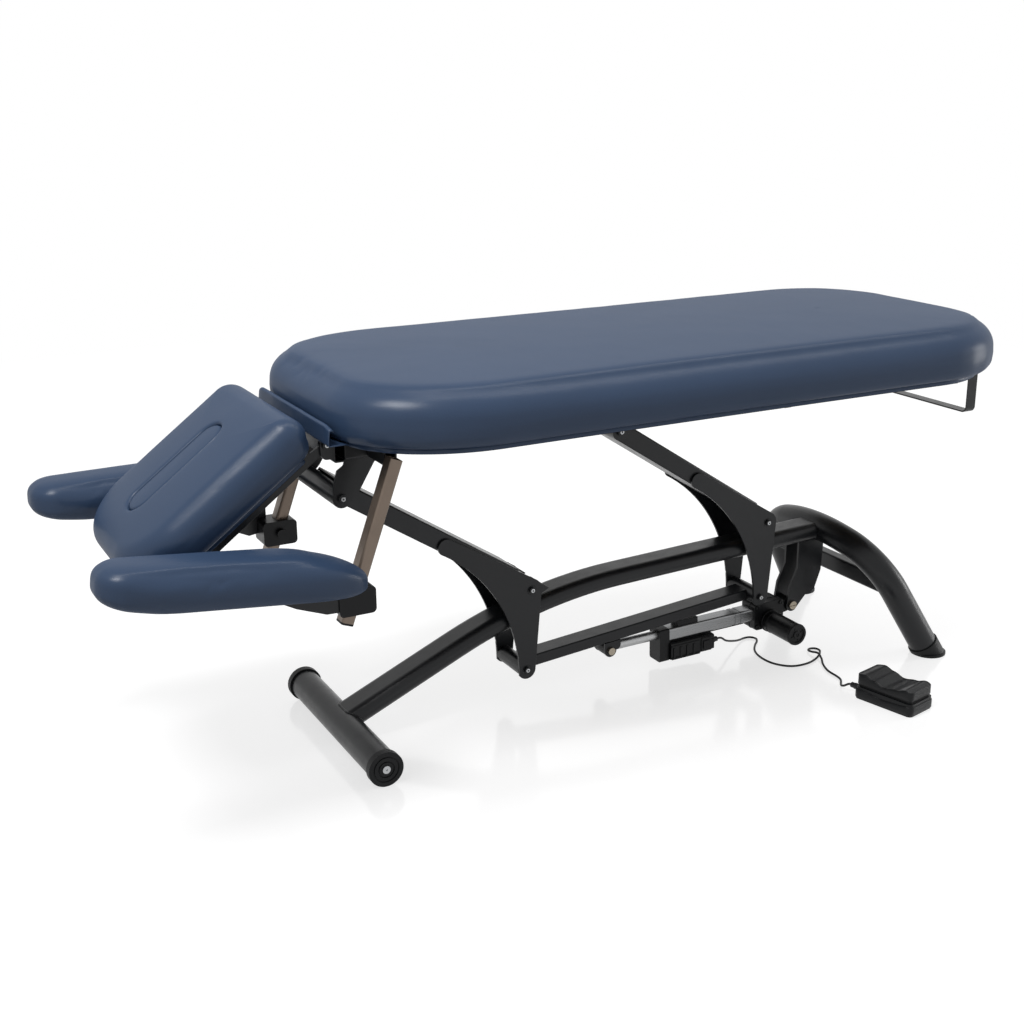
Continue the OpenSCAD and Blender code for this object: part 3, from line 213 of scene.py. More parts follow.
def combine(tree, a, b, share):
    """a + b * share"""
    node = tree.nodes.new("ShaderNodeMath")
    node.operation = "MULTIPLY_ADD"
    node.inputs[1].default_value = share
    tree.links.new(b, node.inputs[0])
    tree.links.new(a, node.inputs[2])
    return node.outputs[0]


def bump(tree, shader, height, strength, distance, coat=False):
    node = tree.nodes.new("ShaderNodeBump")
    node.inputs["Strength"].default_value = strength
    node.inputs["Distance"].default_value = distance
    tree.links.new(height, node.inputs["Height"])
    tree.links.new(node.outputs[0], shader.inputs["Normal"])
    if coat:
        tree.links.new(node.outputs[0], shader.inputs["Coat Normal"])


def scaled(color, k):
    return tuple(min(1.0, c * k) for c in color)


def leatherette():
    """Grained vinyl: its soft highlights come from a thin coat."""
    base = (0.036, 0.064, 0.124)
    mat, tree, shader = start_material("navy_leatherette", base, 0.5, specular=0.04)
    at = coords(tree)
    cloud = ramp(tree, noise_of(tree, at, 5, 3, 0.6), 0.3, 0.7, 0.3, 0.7)
    fine = ramp(tree, noise_of(tree, at, 420, 2), 0.3, 0.7, -0.5, 0.5)
    tone = combine(tree, cloud, fine, 0.35)
    color = blend_color(tree, tone, scaled(base, 0.93), scaled(base, 1.07))
    tree.links.new(color, shader.inputs["Base Color"])
    grain = tree.nodes.new("ShaderNodeTexVoronoi")
    grain.feature = "SMOOTH_F1"
    grain.inputs["Scale"].default_value = 800
    tree.links.new(at, grain.inputs["Vector"])
    pebble = combine(tree, grain.outputs["Distance"], noise_of(tree, at, 1700, 2), 0.3)
    creases = combine(tree, pebble, noise_of(tree, at, 60, 3, 0.6), 0.6)
    bump(tree, shader, creases, 0.2, 0.0006, coat=True)
    shader.inputs["Coat Weight"].default_value = 0.13
    shader.inputs["Coat Roughness"].default_value = 0.27
    shader.inputs["Coat IOR"].default_value = 2.2
    return mat


def paint(name, base, rough, peel, strength, spread, metallic=0.0, specular=0.5):
    """Coated or moulded surface: peel is the fineness of its bumps, strength their height.

    spread is how far the tone wanders either way.
    """
    mat, tree, shader = start_material(name, base, rough, metallic, specular)
    at = coords(tree)
    cloud = ramp(tree, noise_of(tree, at, 9, 4, 0.6), 0.3, 0.7, 0, 1)
    color = blend_color(tree, cloud, scaled(base, 1 - spread), scaled(base, 1 + spread))
    tree.links.new(color, shader.inputs["Base Color"])
    smear = noise_of(tree, at, 35, 4, 0.65)
    tree.links.new(ramp(tree, smear, 0.3, 0.7, rough - 0.05, rough + 0.06), shader.inputs["Roughness"])
    bump(tree, shader, noise_of(tree, at, peel, 2), strength, 0.0004)
    return mat


def drawn_metal(name, base, rough, along, metallic=1.0):
    """Metal with streaks, which are long where along is small."""
    mat, tree, shader = start_material(name, base, rough, metallic)
    streak = noise_of(tree, coords(tree, along), 1, 4, 0.7)
    tree.links.new(ramp(tree, streak, 0.25, 0.75, rough - 0.08, rough + 0.1), shader.inputs["Roughness"])
    color = blend_color(tree, ramp(tree, streak, 0.3, 0.7, 0, 1), scaled(base, 0.88), scaled(base, 1.08))
    tree.links.new(color, shader.inputs["Base Color"])
    bump(tree, shader, streak, 0.08, 0.0003)
    return mat


def ply(name, turn=0.0):
    """Plywood with its layers level in a board that has the turn at rest."""
    mat, tree, shader = start_material(name, (0.42, 0.27, 0.14), 0.62)
    at = coords(tree, (4, 60, 60), (0, turn, 0))
    grain = noise_of(tree, at, 1.4, 5, 0.65, 1.2)
    layers = tree.nodes.new("ShaderNodeTexWave")
    layers.bands_direction = "Z"
    layers.inputs["Scale"].default_value = 90
    layers.inputs["Distortion"].default_value = 0.6
    tree.links.new(coords(tree, (1, 1, 1), (0, turn, 0)), layers.inputs["Vector"])
    tone = combine(tree, ramp(tree, grain, 0.3, 0.7, 0, 0.7), layers.outputs["Fac"], 0.35)
    color = blend_color(tree, tone, (0.24, 0.14, 0.07), (0.56, 0.4, 0.24))
    tree.links.new(color, shader.inputs["Base Color"])
    bump(tree, shader, tone, 0.2, 0.0006)
    return mat


# Pivot of the head section, and the turn that it has at rest
HINGE = (-53.0, 662.006)
HEAD_TURN = math.radians(-37)

VINYL = leatherette()
POWDER = paint("black_powder_coat", (0.0095, 0.0105, 0.0125), 0.33, 1100, 0.2, 0.12, specular=0.3)
BRONZE = paint("bronze_coat", (0.2, 0.155, 0.122), 0.36, 1600, 0.12, 0.1, metallic=0.55)
PLASTIC = paint("black_moulded_plastic", (0.006, 0.0065, 0.0075), 0.36, 2200, 0.2, 0.15, specular=0.2)
RUBBER = paint("black_rubber", (0.009, 0.0095, 0.0105), 0.5, 1500, 0.3, 0.2, specular=0.2)
ZINC = drawn_metal("bright_zinc", (0.42, 0.43, 0.44), 0.3, (500, 500, 500))
WARM_ZINC = drawn_metal("passivated_zinc", (0.34, 0.3, 0.24), 0.32, (500, 500, 500))
ROD = paint("polished_rod", (0.4, 0.405, 0.41), 0.42, 400, 0.02, 0.04, metallic=1.0)
ALLOY = drawn_metal("extruded_aluminium", (0.26, 0.265, 0.27), 0.3, (5, 1100, 1100), 0.9)
PLY = ply("plywood")
PLY_HEAD = ply("plywood_head", HEAD_TURN)
# Black lining cloth under the boards: its black is also painted shade under the cushions' lower edges
LINING_AND_SHADE = paint("black_lining_and_painted_shade", (0.01, 0.01, 0.011), 0.85, 1300, 0.4, 0.2, specular=0.1)
CORD_RUBBER = paint("cord_jacket", (0.01, 0.0105, 0.012), 0.45, 1800, 0.15, 0.15, specular=0.35)

# Every node that isn't named here is black powder coat
BY_NODE = {
    VINYL: ("table_cushion", "gap_flap", "head_cushion", "face_plug", "left_arm_pad", "right_arm_pad"),
    BRONZE: ("armrest_posts",),
    ZINC: ("cap_screws", "lead_screw"),
    WARM_ZINC: ("actuator_bolt", "rod_lug_bolts"),
    ROD: ("push_rod",),
    ALLOY: ("actuator_housing",),
    PLY: ("table_board",),
    PLY_HEAD: ("head_board",),
    RUBBER: ("foot_caps", "rear_feet", "post_caps"),
    CORD_RUBBER: ("switch_cord", "cord_gland", "switch_gland"),
    PLASTIC: (
        "left_clamp", "right_clamp", "actuator_front_cap", "actuator_motor", "gear_housing", "control_box",
        "switch_base", "switch_rocker", "left_clamp_screw", "right_clamp_screw",
    ),
}
finish_of = {n: m for m, names in BY_NODE.items() for n in names}
for name, obj in nodes.items():
    obj.data.materials.clear()
    obj.data.materials.append(finish_of.get(name, POWDER))


# Small radii on the edges of the plates, clamps and housings
def soften(obj, width):
    weld = obj.modifiers.new("weld", "WELD")
    weld.merge_threshold = 0.00002
    flat = obj.modifiers.new("flat", "DECIMATE")
    flat.decimate_type = "DISSOLVE"
    flat.angle_limit = math.radians(0.4)
    edge = obj.modifiers.new("edge", "BEVEL")
    edge.width = width / 1000
    edge.segments = 3
    edge.limit_method = "ANGLE"
    edge.angle_limit = math.radians(38)
    edge.use_clamp_overlap = True
    normal = obj.modifiers.new("normal", "WEIGHTED_NORMAL")
    normal.keep_sharp = False


SOFT_EDGES = {
    0.8: (
        "front_crank_plates", "rear_crank_plates", "drop_brackets", "head_hinge_ears", "head_frame",
        "actuator_brackets", "pivot_saddles", "left_pad_arm", "right_pad_arm", "rod_lug",
    ),
    1.0: ("switch_base", "switch_rocker", "control_box", "gear_housing", "actuator_front_cap"),
    2.0: ("left_clamp", "right_clamp"),
}
for width, names in SOFT_EDGES.items():
    for name in names:
        soften(nodes[name], width)


# Padding
def corner(cx, cy, a, b, start, stop, n):
    return [(cx + a * math.cos(t), cy + b * math.sin(t)) for t in np.linspace(start, stop, n)]


def outline(l, w, rear, front, pull, count):
    """Points with outward normals, from the rear end round by +Y to the front end and back.

    rear and front are the two half axes of the corners, and pull draws the long sides in.
    """
    half_turn = math.pi / 2
    path = [(l / 2, 0.0)]
    path += corner(l / 2 - rear[0], w / 2 - rear[1], *rear, 0, half_turn, 60)
    x0, x1 = l / 2 - rear[0], front[0] - l / 2
    path += [(x0 + (x1 - x0) * t, w / 2 - pull * math.sin(math.pi * t)) for t in np.linspace(0.02, 0.98, 60)]
    path += corner(x1, w / 2 - front[1], *front, half_turn, math.pi, 60)
    path.append((-l / 2, 0.0))
    path = np.array(path)
    steps = np.r_[0, np.cumsum(np.linalg.norm(np.diff(path, axis=0), axis=1))]
    at = (np.arange(count // 2) + 0.5) / (count // 2) * steps[-1]
    xy = np.stack([np.interp(at, steps, path[:, k]) for k in (0, 1)], 1)
    xy = np.concatenate([xy, xy[::-1] * [1, -1]])
    along = np.roll(xy, -1, 0) - np.roll(xy, 1, 0)
    normal = np.stack([along[:, 1], -along[:, 0]], 1)
    normal /= np.linalg.norm(normal, axis=1)[:, None]
    return xy, normal


def ring_at(shape, inset, z):
    xy, normal = shape
    flat = xy - normal * inset
    return np.column_stack([flat, np.full(len(flat), z)])


def crown(shape, inset, z, mid, rise, shares):
    """Rings that close on the long axis, between -mid and mid, and rise to it."""
    base = ring_at(shape, inset, z)
    goal = np.clip(base[:, 0], -mid, mid)
    rings = []
    for t in shares:
        ring = base.copy()
        ring[:, 0] += (goal - base[:, 0]) * t
        ring[:, 1] *= 1 - t
        ring[:, 2] += rise * (1 - (1 - t) ** 2)
        rings.append(ring)
    return rings


# How far the lower edge of a cover turns in, and how high that turn is
TURN_IN, TURN_UP = 20, 24


def turn_angles():
    return np.linspace(0, math.pi / 2, 9)


def side_rings(shape, h, inwards, down, belly, slope):
    """The turned lower edge, the side with a slight belly, and the rounded top edge.

    The rounding stops where it has the slope with which the crown goes on.
    """
    stop = math.atan2(down, inwards * slope)
    rings = [ring_at(shape, TURN_IN * (1 - math.sin(a)), TURN_UP * (1 - math.cos(a))) for a in turn_angles()]
    for z in np.linspace(TURN_UP, h - down, 6)[1:]:
        share = (z - TURN_UP) / (h - down - TURN_UP)
        rings.append(ring_at(shape, -belly * math.sin(math.pi * share), z))
    rings += [
        ring_at(shape, inwards * (1 - math.cos(a)), h - down + down * math.sin(a))
        for a in np.linspace(0, stop, 15)[1:]
    ]
    return rings, inwards * (1 - math.cos(stop)), h - down + down * math.sin(stop)


def drawn_in(shape, mid, share, z):
    """A ring part of the way from the outline to the pad's long axis."""
    ring = ring_at(shape, 0, z)
    goal = np.clip(ring[:, 0], -mid, mid)
    ring[:, 0] += (goal - ring[:, 0]) * share
    ring[:, 1] *= 1 - share
    return ring


def pad_rings(shape, half, h, down, mid):
    """A narrow pad: rounded from its side right up to its long axis."""
    rings = []
    for a in turn_angles():
        rings.append(drawn_in(shape, mid, TURN_IN / half * (1 - math.sin(a)), TURN_UP * (1 - math.cos(a))))
    full = 0.66
    for a in math.pi / 2 * (1 - (1 - np.linspace(0, 1, 25)[:-1]) ** 1.5):
        rings.append(drawn_in(shape, mid, 1 - math.cos(a) ** full, h - down + down * math.sin(a) ** full))
    return rings


def wrap_rings(shape, inset, margin):
    """The cover's margin, drawn round the edge of the board and fixed under it."""
    board, play, thick = 12, 0.1, 1.0
    low = -board - play - thick
    inner, outer = inset + play, inset - play - thick
    return [ring_at(shape, d, z) for d, z in (
        (inner, 0), (outer, 0), (outer, low + thick), (outer + thick, low),
        (inset + margin, low), (inset + margin, low + thick), (inner, low + thick),
    )]


def smooth(t):
    t = np.clip(t, 0, 1)
    return t * t * (3 - 2 * t)


def new_object(name, verts, faces, matrix=None, outwards=True, smooth_faces=True):
    """A mesh object from millimetres, moved by the matrix, with its faces turned outwards."""
    mesh = bpy.data.meshes.new(name)
    mesh.from_pydata([tuple(c / 1000 for c in v) for v in verts], [], faces)
    if matrix is not None:
        mesh.transform(matrix)
    if outwards:
        bm = bmesh.new()
        bm.from_mesh(mesh)
        bmesh.ops.recalc_face_normals(bm, faces=bm.faces)
        bm.to_mesh(mesh)
        bm.free()
    for p in mesh.polygons:
        p.use_smooth = smooth_faces
    obj = bpy.data.objects.new(name, mesh)
    scene.collection.objects.link(obj)
    return obj


def build(name, *shells):
    """One mesh of closed shells: each is a stack of rings, capped at its ends or closed on itself."""
    verts, faces = [], []
    for rings, capped in shells:
        start, n = len(verts), len(rings[0])
        verts += [tuple(v) for ring in rings for v in ring]
        for k in range(len(rings) - 1 if capped else len(rings)):
            a, b = start + k * n, start + ((k + 1) % len(rings)) * n
            faces += [(a + i, a + (i + 1) % n, b + (i + 1) % n, b + i) for i in range(n)]
        if capped:
            for base, flip in ((start, True), (start + (len(rings) - 1) * n, False)):
                for i in range(n // 2 - 1):
                    quad = (base + i, base + i + 1, base + n - 2 - i, base + n - 1 - i)
                    faces.append(quad[::-1] if flip else quad)
    return new_object(name, verts, faces)


# Shares of a cover's height where the evening out of the cloth's movement begins and is whole
EVEN_FROM, EVEN_WHOLE = 0.86, 0.98


def swell(obj, cap, pressure):
    """Short cloth run: air pressure fills the cover while its underside is held.

    Near the top every point moves by the mean there, and no point moves farther than the cap.
    """
    rest = np.array([tuple(v.co) for v in obj.data.vertices])
    held = obj.vertex_groups.new(name="held")
    held.add([i for i, co in enumerate(rest) if co[2] < 0.003], 1.0, "REPLACE")
    cloth = obj.modifiers.new("cloth", "CLOTH")
    cloth.settings.quality = 5
    cloth.settings.mass = 0.4
    cloth.settings.tension_stiffness = 20
    cloth.settings.compression_stiffness = 20
    cloth.settings.shear_stiffness = 8
    cloth.settings.bending_stiffness = 2
    cloth.settings.use_pressure = True
    cloth.settings.uniform_pressure_force = pressure
    cloth.settings.vertex_group_mass = "held"
    cloth.settings.effector_weights.gravity = 0
    cloth.collision_settings.use_collision = False
    frames = 20
    cloth.point_cache.frame_start, cloth.point_cache.frame_end = 1, frames
    for f in range(1, frames + 1):
        scene.frame_set(f)
    got = obj.evaluated_get(bpy.context.evaluated_depsgraph_get()).data
    now = np.array([tuple(v.co) for v in got.vertices])
    obj.modifiers.remove(cloth)
    obj.vertex_groups.remove(held)
    scene.frame_set(1)
    move = now - rest
    up = rest[:, 2] / rest[:, 2].max()
    even = smooth((up - EVEN_FROM) / (EVEN_WHOLE - EVEN_FROM))[:, None]
    move += (move[up > 0.97].mean(0) - move) * even
    reach = np.linalg.norm(move, axis=1)
    mean, most = (round(float(v) * 1000, 2) for v in (reach.mean(), reach.max()))
    print("swell", obj.name, "mean", mean, "max", most)
    move *= (np.minimum(reach, cap / 1000) / np.maximum(reach, 1e-9))[:, None]
    for v, co in zip(obj.data.vertices, rest + move):
        v.co = co
    obj.data.update()


def work(obj, height, uneven, pucker, pitch, seed):
    """Hand of the upholsterer: slow unevenness all over and gathers at the lower corners."""
    mesh = obj.data
    normals = [v.normal.copy() for v in mesh.vertices]
    for v, n in zip(mesh.vertices, normals):
        p = v.co * 1000
        slow = noise.noise(Vector((p.x / 120, p.y / 95, p.z / 60 + seed)))
        quick = noise.noise(Vector((p.x / 38, p.y / 38, p.z / 45 + seed + 7)))
        move = uneven * (slow + 0.45 * quick) * (1 if n.z > -0.2 else 0)
        bent = min(1.0, 2.2 * abs(n.x * n.y))
        low = max(0.0, 1 - p.z / (0.75 * height))
        side = (1 - abs(n.z) ** 2) * bent * low
        angle = math.atan2(n.y, n.x)
        wave = math.sin(angle * pitch + 3 * noise.noise(Vector((p.x / 60, p.y / 60, seed))))
        move += pucker * side * (wave - 0.4)
        v.co += n * move / 1000
    mesh.update()


def finish_pad(obj, matrix, body, node):
    """The black lining, whose black is also painted shade, shows on the faces that point down, below the
    cover's lower edge.
    """
    obj.data.materials.append(VINYL)
    obj.data.materials.append(LINING_AND_SHADE)
    for p in obj.data.polygons:
        p.material_index = int(p.center.z < 0 and p.normal.z < -0.7)
    obj.data.transform(matrix)
    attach(obj, body)
    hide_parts(node)


# Places of the crown's rings, from the rounded edge at 0 to the long axis at 1
SHARES = (0.04, 0.09, 0.16, 0.25, 0.35, 0.45, 0.55, 0.65, 0.75, 0.84, 0.91, 0.96)

# The table cushion's middle and the flap's face along the table, and the arm pads' middles from its centre
BOARD_TOP = 677.006
CUSHION_X, FLAP_X = 727, -71.5
ARM_PAD_X, ARM_PAD_Y = -281, 265


def make_table_cushion():
    l, w, h, rise = 1570, 702, 104, 5
    inwards, down = 66, 56
    shape = outline(l, w, rear=(240, 240), front=(270, 215), pull=3, count=560)
    slope = 2 * rise / (w / 2 - inwards)
    rings, inset, top = side_rings(shape, h, inwards, down, belly=0.8, slope=slope)
    rings += crown(shape, inset, top, (l - w) / 2, rise, SHARES)
    pad = build("table_cushion_cover", (rings, True), (wrap_rings(shape, inset=32, margin=45), False))
    work(pad, h, uneven=0.5, pucker=1.0, pitch=22, seed=1.5)
    swell(pad, cap=5, pressure=0.35)
    finish_pad(pad, Matrix.Translation(place(CUSHION_X, 0, BOARD_TOP)), "table_frame", "table_cushion")


# Head cushion, with the oval opening for the face and a bulge above the flap
HEAD_AT = Matrix.Translation(place(HINGE[0], 0, HINGE[1])) @ Matrix.Rotation(HEAD_TURN, 4, "Y")
HEAD_AT = HEAD_AT @ Matrix.Translation(Vector((-221, 0, 31)) / 1000)
LIP = 7


def make_head_cushion():
    l, w, h, rise = 398, 390, 84, 5
    inwards = down = 42
    crest = h + rise
    shape = outline(l, w, rear=(38, 38), front=(120, 120), pull=0, count=360)
    hole = outline(226, 70, rear=(35, 35), front=(35, 35), pull=0, count=360)
    slope = 2 * rise / (w / 2 - inwards - down)
    rings, inset, top = side_rings(shape, h, inwards, down, belly=0.6, slope=slope)
    edge, rim = ring_at(shape, inset, top), ring_at(hole, -LIP, crest)
    for t in (0.06, 0.14, 0.25, 0.38, 0.52, 0.66, 0.8, 0.92, 1.0):
        ring = edge + (rim - edge) * t
        ring[:, 2] = top + (crest - top) * (1 - (1 - t) ** 2)
        rings.append(ring)
    for a in np.linspace(0, math.pi / 2, 6)[1:]:
        rings.append(ring_at(hole, -LIP * (1 - math.sin(a)), crest - LIP + LIP * math.cos(a)))
    rings += [ring_at(hole, 0, z) for z in (60, 40, 20, 4)]
    rings += [ring_at(hole, -4 + 4 * math.cos(a), 4 - 4 * math.sin(a)) for a in (0.5, 1.0, math.pi / 2)]
    bulge, flap_top = 9, 21
    for ring in rings:
        above = np.clip((ring[:, 2] - flap_top) / 26, 0, 1)
        ring[:, 0] += bulge * np.sin(above * math.pi / 2) * smooth((ring[:, 0] - 125) / 60)
    pad = build("head_cushion_cover", (rings, False), (wrap_rings(shape, inset=30, margin=35), False))
    work(pad, h, uneven=0.4, pucker=1.0, pitch=20, seed=4.2)
    swell(pad, cap=1.5, pressure=0.6)
    finish_pad(pad, HEAD_AT, "head_section", "head_cushion")


def make_face_plug():
    crest = 89
    shape = outline(224, 68, rear=(34, 34), front=(34, 34), pull=0, count=160)
    side = ((6, 0), (1.5, 1), (0, 3), (0, 25), (0, 50), (0, 72), (0.1, 80))
    rings = [ring_at(shape, d, z) for d, z in side]
    for a in np.linspace(0, math.pi / 2, 8):
        rings.append(ring_at(shape, LIP * (1 - math.cos(a)), crest - LIP + LIP * math.sin(a)))
    rings += crown(shape, LIP, crest, 78, 1, (0.08, 0.2, 0.4, 0.65, 0.9))
    pad = build("face_plug_cover", (rings, True))
    work(pad, crest, uneven=0.15, pucker=0.0, pitch=10, seed=6.1)
    finish_pad(pad, HEAD_AT, "plug", "face_plug")


# Arm pads: the top falls towards the rear end and the underside rises at the front end
def make_arm_pad(name, side, height, slope):
    l, w, h = 486, 122, 76
    shape = outline(l, w, rear=(130, w / 2), front=(50, 50), pull=0, count=280)
    rings = pad_rings(shape, half=w / 2, h=80, down=48, mid=182)
    for ring in rings:
        fall = 1 - 0.48 * np.clip((ring[:, 0] / l - 0.11) / 0.39, 0, None) ** 2
        rise = 1 - 0.25 * np.clip((-ring[:, 0] / l - 0.2) / 0.3, 0, None) ** 2
        ring[:, 2] = h - (h - ring[:, 2] * fall) * rise
    pad = build(name + "_arm_pad_cover", (rings, True))
    work(pad, h, uneven=0.35, pucker=0.7, pitch=16, seed=8.3 + side)
    swell(pad, cap=2.5, pressure=4.0)
    at = Matrix.Translation(place(ARM_PAD_X, side * ARM_PAD_Y, height))
    at = at @ Matrix.Rotation(math.radians(slope), 4, "Y")
    finish_pad(pad, at, name + "_armrest", name + "_arm_pad")


make_table_cushion()
make_head_cushion()
make_face_plug()
make_arm_pad("left", side=1, height=478, slope=-0.5)
make_arm_pad("right", side=-1, height=447, slope=6)


# Flap that closes the gap under the edge of the table cushion
def make_flap():
    high, curl = 31, 3.6
    run = [(38.0, -1.0), (25.0, -1.0), (12.0, -1.0), (3.0, -1.0), (0.4, -0.6), (-1.0, 1.5)]
    run += [(-1.0, z) for z in np.linspace(4, high, 12)]
    for a in np.linspace(0, math.pi * 1.15, 12)[1:]:
        run.append((curl - 1 - curl * math.cos(a), high + curl * math.sin(a)))
    across = np.linspace(-196, 196, 80)
    verts, faces = [], []
    for y in across:
        wave = abs(1.4 * math.sin(y / 31) + 0.9 * math.sin(y / 13 + 1))
        end = max(0.0, (abs(y) - 172) / 24)
        for x, z in run:
            lift = max(0.0, z) / (high + curl)
            shift = wave * 0.3 * lift ** 2 + 3 * end ** 2 * lift
            verts.append((x + shift, y, z * (1 - 0.22 * end ** 2 * lift)))
    n = len(run)
    for j in range(len(across) - 1):
        faces += [(j * n + i, j * n + i + 1, (j + 1) * n + i + 1, (j + 1) * n + i) for i in range(n - 1)]
    at = Matrix.Translation(place(FLAP_X, 0, BOARD_TOP))
    obj = new_object("gap_flap_cover", verts, faces, at, outwards=False)
    thick = obj.modifiers.new("thick", "SOLIDIFY")
    thick.thickness = 0.0018
    thick.offset = 0
    obj.data.materials.append(VINYL)
    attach(obj, "table_frame")
    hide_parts("gap_flap")


make_flap()


# Small fittings
def add_piece(name, shape, matrix, mat, body, rounded=True):
    verts, faces = shape
    obj = new_object(name, verts, faces, matrix, smooth_faces=rounded)
    if rounded:
        edge = obj.modifiers.new("edge", "BEVEL")
        edge.width = 0.0003
        edge.segments = 2
        edge.limit_method = "ANGLE"
        edge.angle_limit = math.radians(35)
        obj.modifiers.new("normal", "WEIGHTED_NORMAL")
    dress(obj, mat, body)


def dress(obj, mat, body):
    obj.data.materials.append(mat)
    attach(obj, body)


def lathe(profile, sides, at=(0, 0, 0), phase=0.0):
    """Vertices and faces of a solid turned about the z axis through a point."""
    verts, faces = [], []
    turns = [phase + math.tau * k / sides for k in range(sides)]
    for r, z in profile:
        verts += [(at[0] + r * math.cos(a), at[1] + r * math.sin(a), at[2] + z) for a in turns]
    for j in range(len(profile) - 1):
        low, high = j * sides, (j + 1) * sides
        for k in range(sides):
            after = (k + 1) % sides
            faces.append((low + k, low + after, high + after, high + k))
    faces.append(tuple(range(sides))[::-1])
    faces.append(tuple((len(profile) - 1) * sides + k for k in range(sides)))
    return verts, faces


def merged(parts):
    verts, faces = [], []
    for v, f in parts:
        faces += [tuple(i + len(verts) for i in face) for face in f]
        verts += v
    return verts, faces


def block(lo, hi):
    verts = [(x, y, z) for z in (lo[2], hi[2]) for y in (lo[1], hi[1]) for x in (lo[0], hi[0])]
    return verts, [(0, 1, 3, 2), (4, 5, 7, 6), (0, 1, 5, 4), (2, 3, 7, 6), (0, 2, 6, 4), (1, 3, 7, 5)]


# A fitting on a side face is drawn with z pointing out of the face, towards -Y or +Y
OUT_OF_SIDE = {-1: Matrix.Rotation(math.radians(90), 4, "X"), 1: Matrix.Rotation(math.radians(-90), 4, "X")}
# Dark hex set on each flat screw end: painted shade for a hex recess, which isn't cut
SOCKET_SHADE = paint("socket_shadow", (0.02, 0.02, 0.021), 0.5, 1500, 0.1, 0.1, metallic=0.3)


def on_both_sides(name, body, half, places, profile, sides, mat, rounded=True, step=0.0):
    """The same small turned pieces on both sides, at half from the centre plane."""
    for side, word in ((-1, "right"), (1, "left")):
        parts = [lathe(profile, sides, (x, -side * z, 0), step * k) for k, (x, z) in enumerate(places)]
        at = Matrix.Translation(place(0, side * half, 0)) @ OUT_OF_SIDE[side]
        add_piece(f"{name}_{word}", merged(parts), at, mat, body, rounded)


def screws_and_sockets(name, body, half, places):
    """A bright screw in the middle of each dark pin head, with a dark hex on its end: painted shade for a
    hex recess.
    """
    screw = [(4.4, -0.4), (4.4, 0.6), (3.9, 1.0)]
    socket = [(2.2, -0.4), (2.2, 0.12)]
    on_both_sides(name + "_screws", body, half, places, screw, 32, ZINC)
    on_both_sides(name + "_sockets", body, half + 1, places, socket, 6, SOCKET_SHADE, rounded=False, step=0.3)


# Pivots of the lift arms on the spine, and from there the tie bar's pivots and the drop brackets
ARM_LENGTH, ARM_SLOPE = 515.5, math.radians(32.9)
TIE_LENGTH, TIE_SLOPE = 179.5, math.radians(4)
tops = []
for body, (px, pz) in {"front_crank": (414.0, 269.0), "rear_crank": (1026.0, 321.0)}.items():
    low = (px - TIE_LENGTH * math.sin(TIE_SLOPE), pz - TIE_LENGTH * math.cos(TIE_SLOPE))
    screws_and_sockets(body, body, 60, [(px, pz), low])
    tops.append((px - ARM_LENGTH * math.cos(ARM_SLOPE), pz + ARM_LENGTH * math.sin(ARM_SLOPE)))
screws_and_sockets("bracket", "table_frame", 115, tops)
screws_and_sockets("hinge", "head_section", 134.5, [HINGE])

# Motor end, motor bands and the gear housing's seam and bosses, in the actuator's frame
ACT_AT = Matrix.Translation(place(MOUNT_X, 0, AXIS_Z)) @ Matrix.Rotation(-ACT_TURN, 4, "Y")


def on_side(x, y, z):
    return ACT_AT @ Matrix.Translation(Vector((x, y, z)) / 1000) @ OUT_OF_SIDE[-1]


def motor_hub():
    parts = [
        lathe([(9.5, 0), (9.5, 2.3), (8.7, 3.0), (4.4, 3.0), (4.4, 1.4), (1.6, 1.4), (1.6, 2.6)], 40),
        lathe([(18.9, 0), (18.9, 1.1), (17.2, 1.1), (17.2, 0.05)], 56),
    ]
    for k in range(4):
        a = math.radians(20 + 90 * k)
        verts, faces = block((8.8, -1.3, 0), (18.2, 1.3, 1.9))
        c, s = math.cos(a), math.sin(a)
        parts.append(([(x * c - y * s, x * s + y * c, z) for x, y, z in verts], faces))
    return merged(parts)


def band(a, b, at, proud=0.9):
    """A raised band round the motor, from a to b along it."""
    r = 25
    foot, shoulder, flat = r - 0.3, r + proud * 0.6, r + proud
    profile = [
        (foot, a), (shoulder, a + 0.15), (flat, a + 0.6),
        (flat, b - 0.6), (shoulder, b - 0.15), (foot, b),
    ]
    return lathe(profile, 72, (0, 0, at))


def make_seam():
    shape = outline(84, 66, (10, 10), (10, 10), 0, 120)
    profile = ((0.4, -1.6), (-0.9, -1.4), (-1.1, -0.9), (-1.1, 0.9), (-0.9, 1.4), (0.4, 1.6))
    piece = build("gear_housing_seam", ([ring_at(shape, d, z) for d, z in profile], False))
    piece.data.transform(on_side(-66, -4, -5))
    dress(piece, PLASTIC, "actuator")


bands = merged([band(0, 3.2, -5.5), band(0, 2.2, -86), band(0, 7, -104.9, 1.8)])
boss = [(5.6, -0.2), (5.4, 2.2), (4.9, 2.7), (3.0, 2.7), (3.0, 1.2), (1.2, 1.2)]
bosses = merged([lathe(boss, 28, (x, z, 0)) for x, z in ((-34, 25), (33, 25), (-34, -25), (33, -25))])
add_piece("motor_end_hub", motor_hub(), on_side(-65, -127.2, -19), PLASTIC, "actuator")
add_piece("motor_bands", bands, on_side(-65, -130, -19), PLASTIC, "actuator")
make_seam()
add_piece("gear_housing_bosses", bosses, on_side(-66, -25, -5), PLASTIC, "actuator")


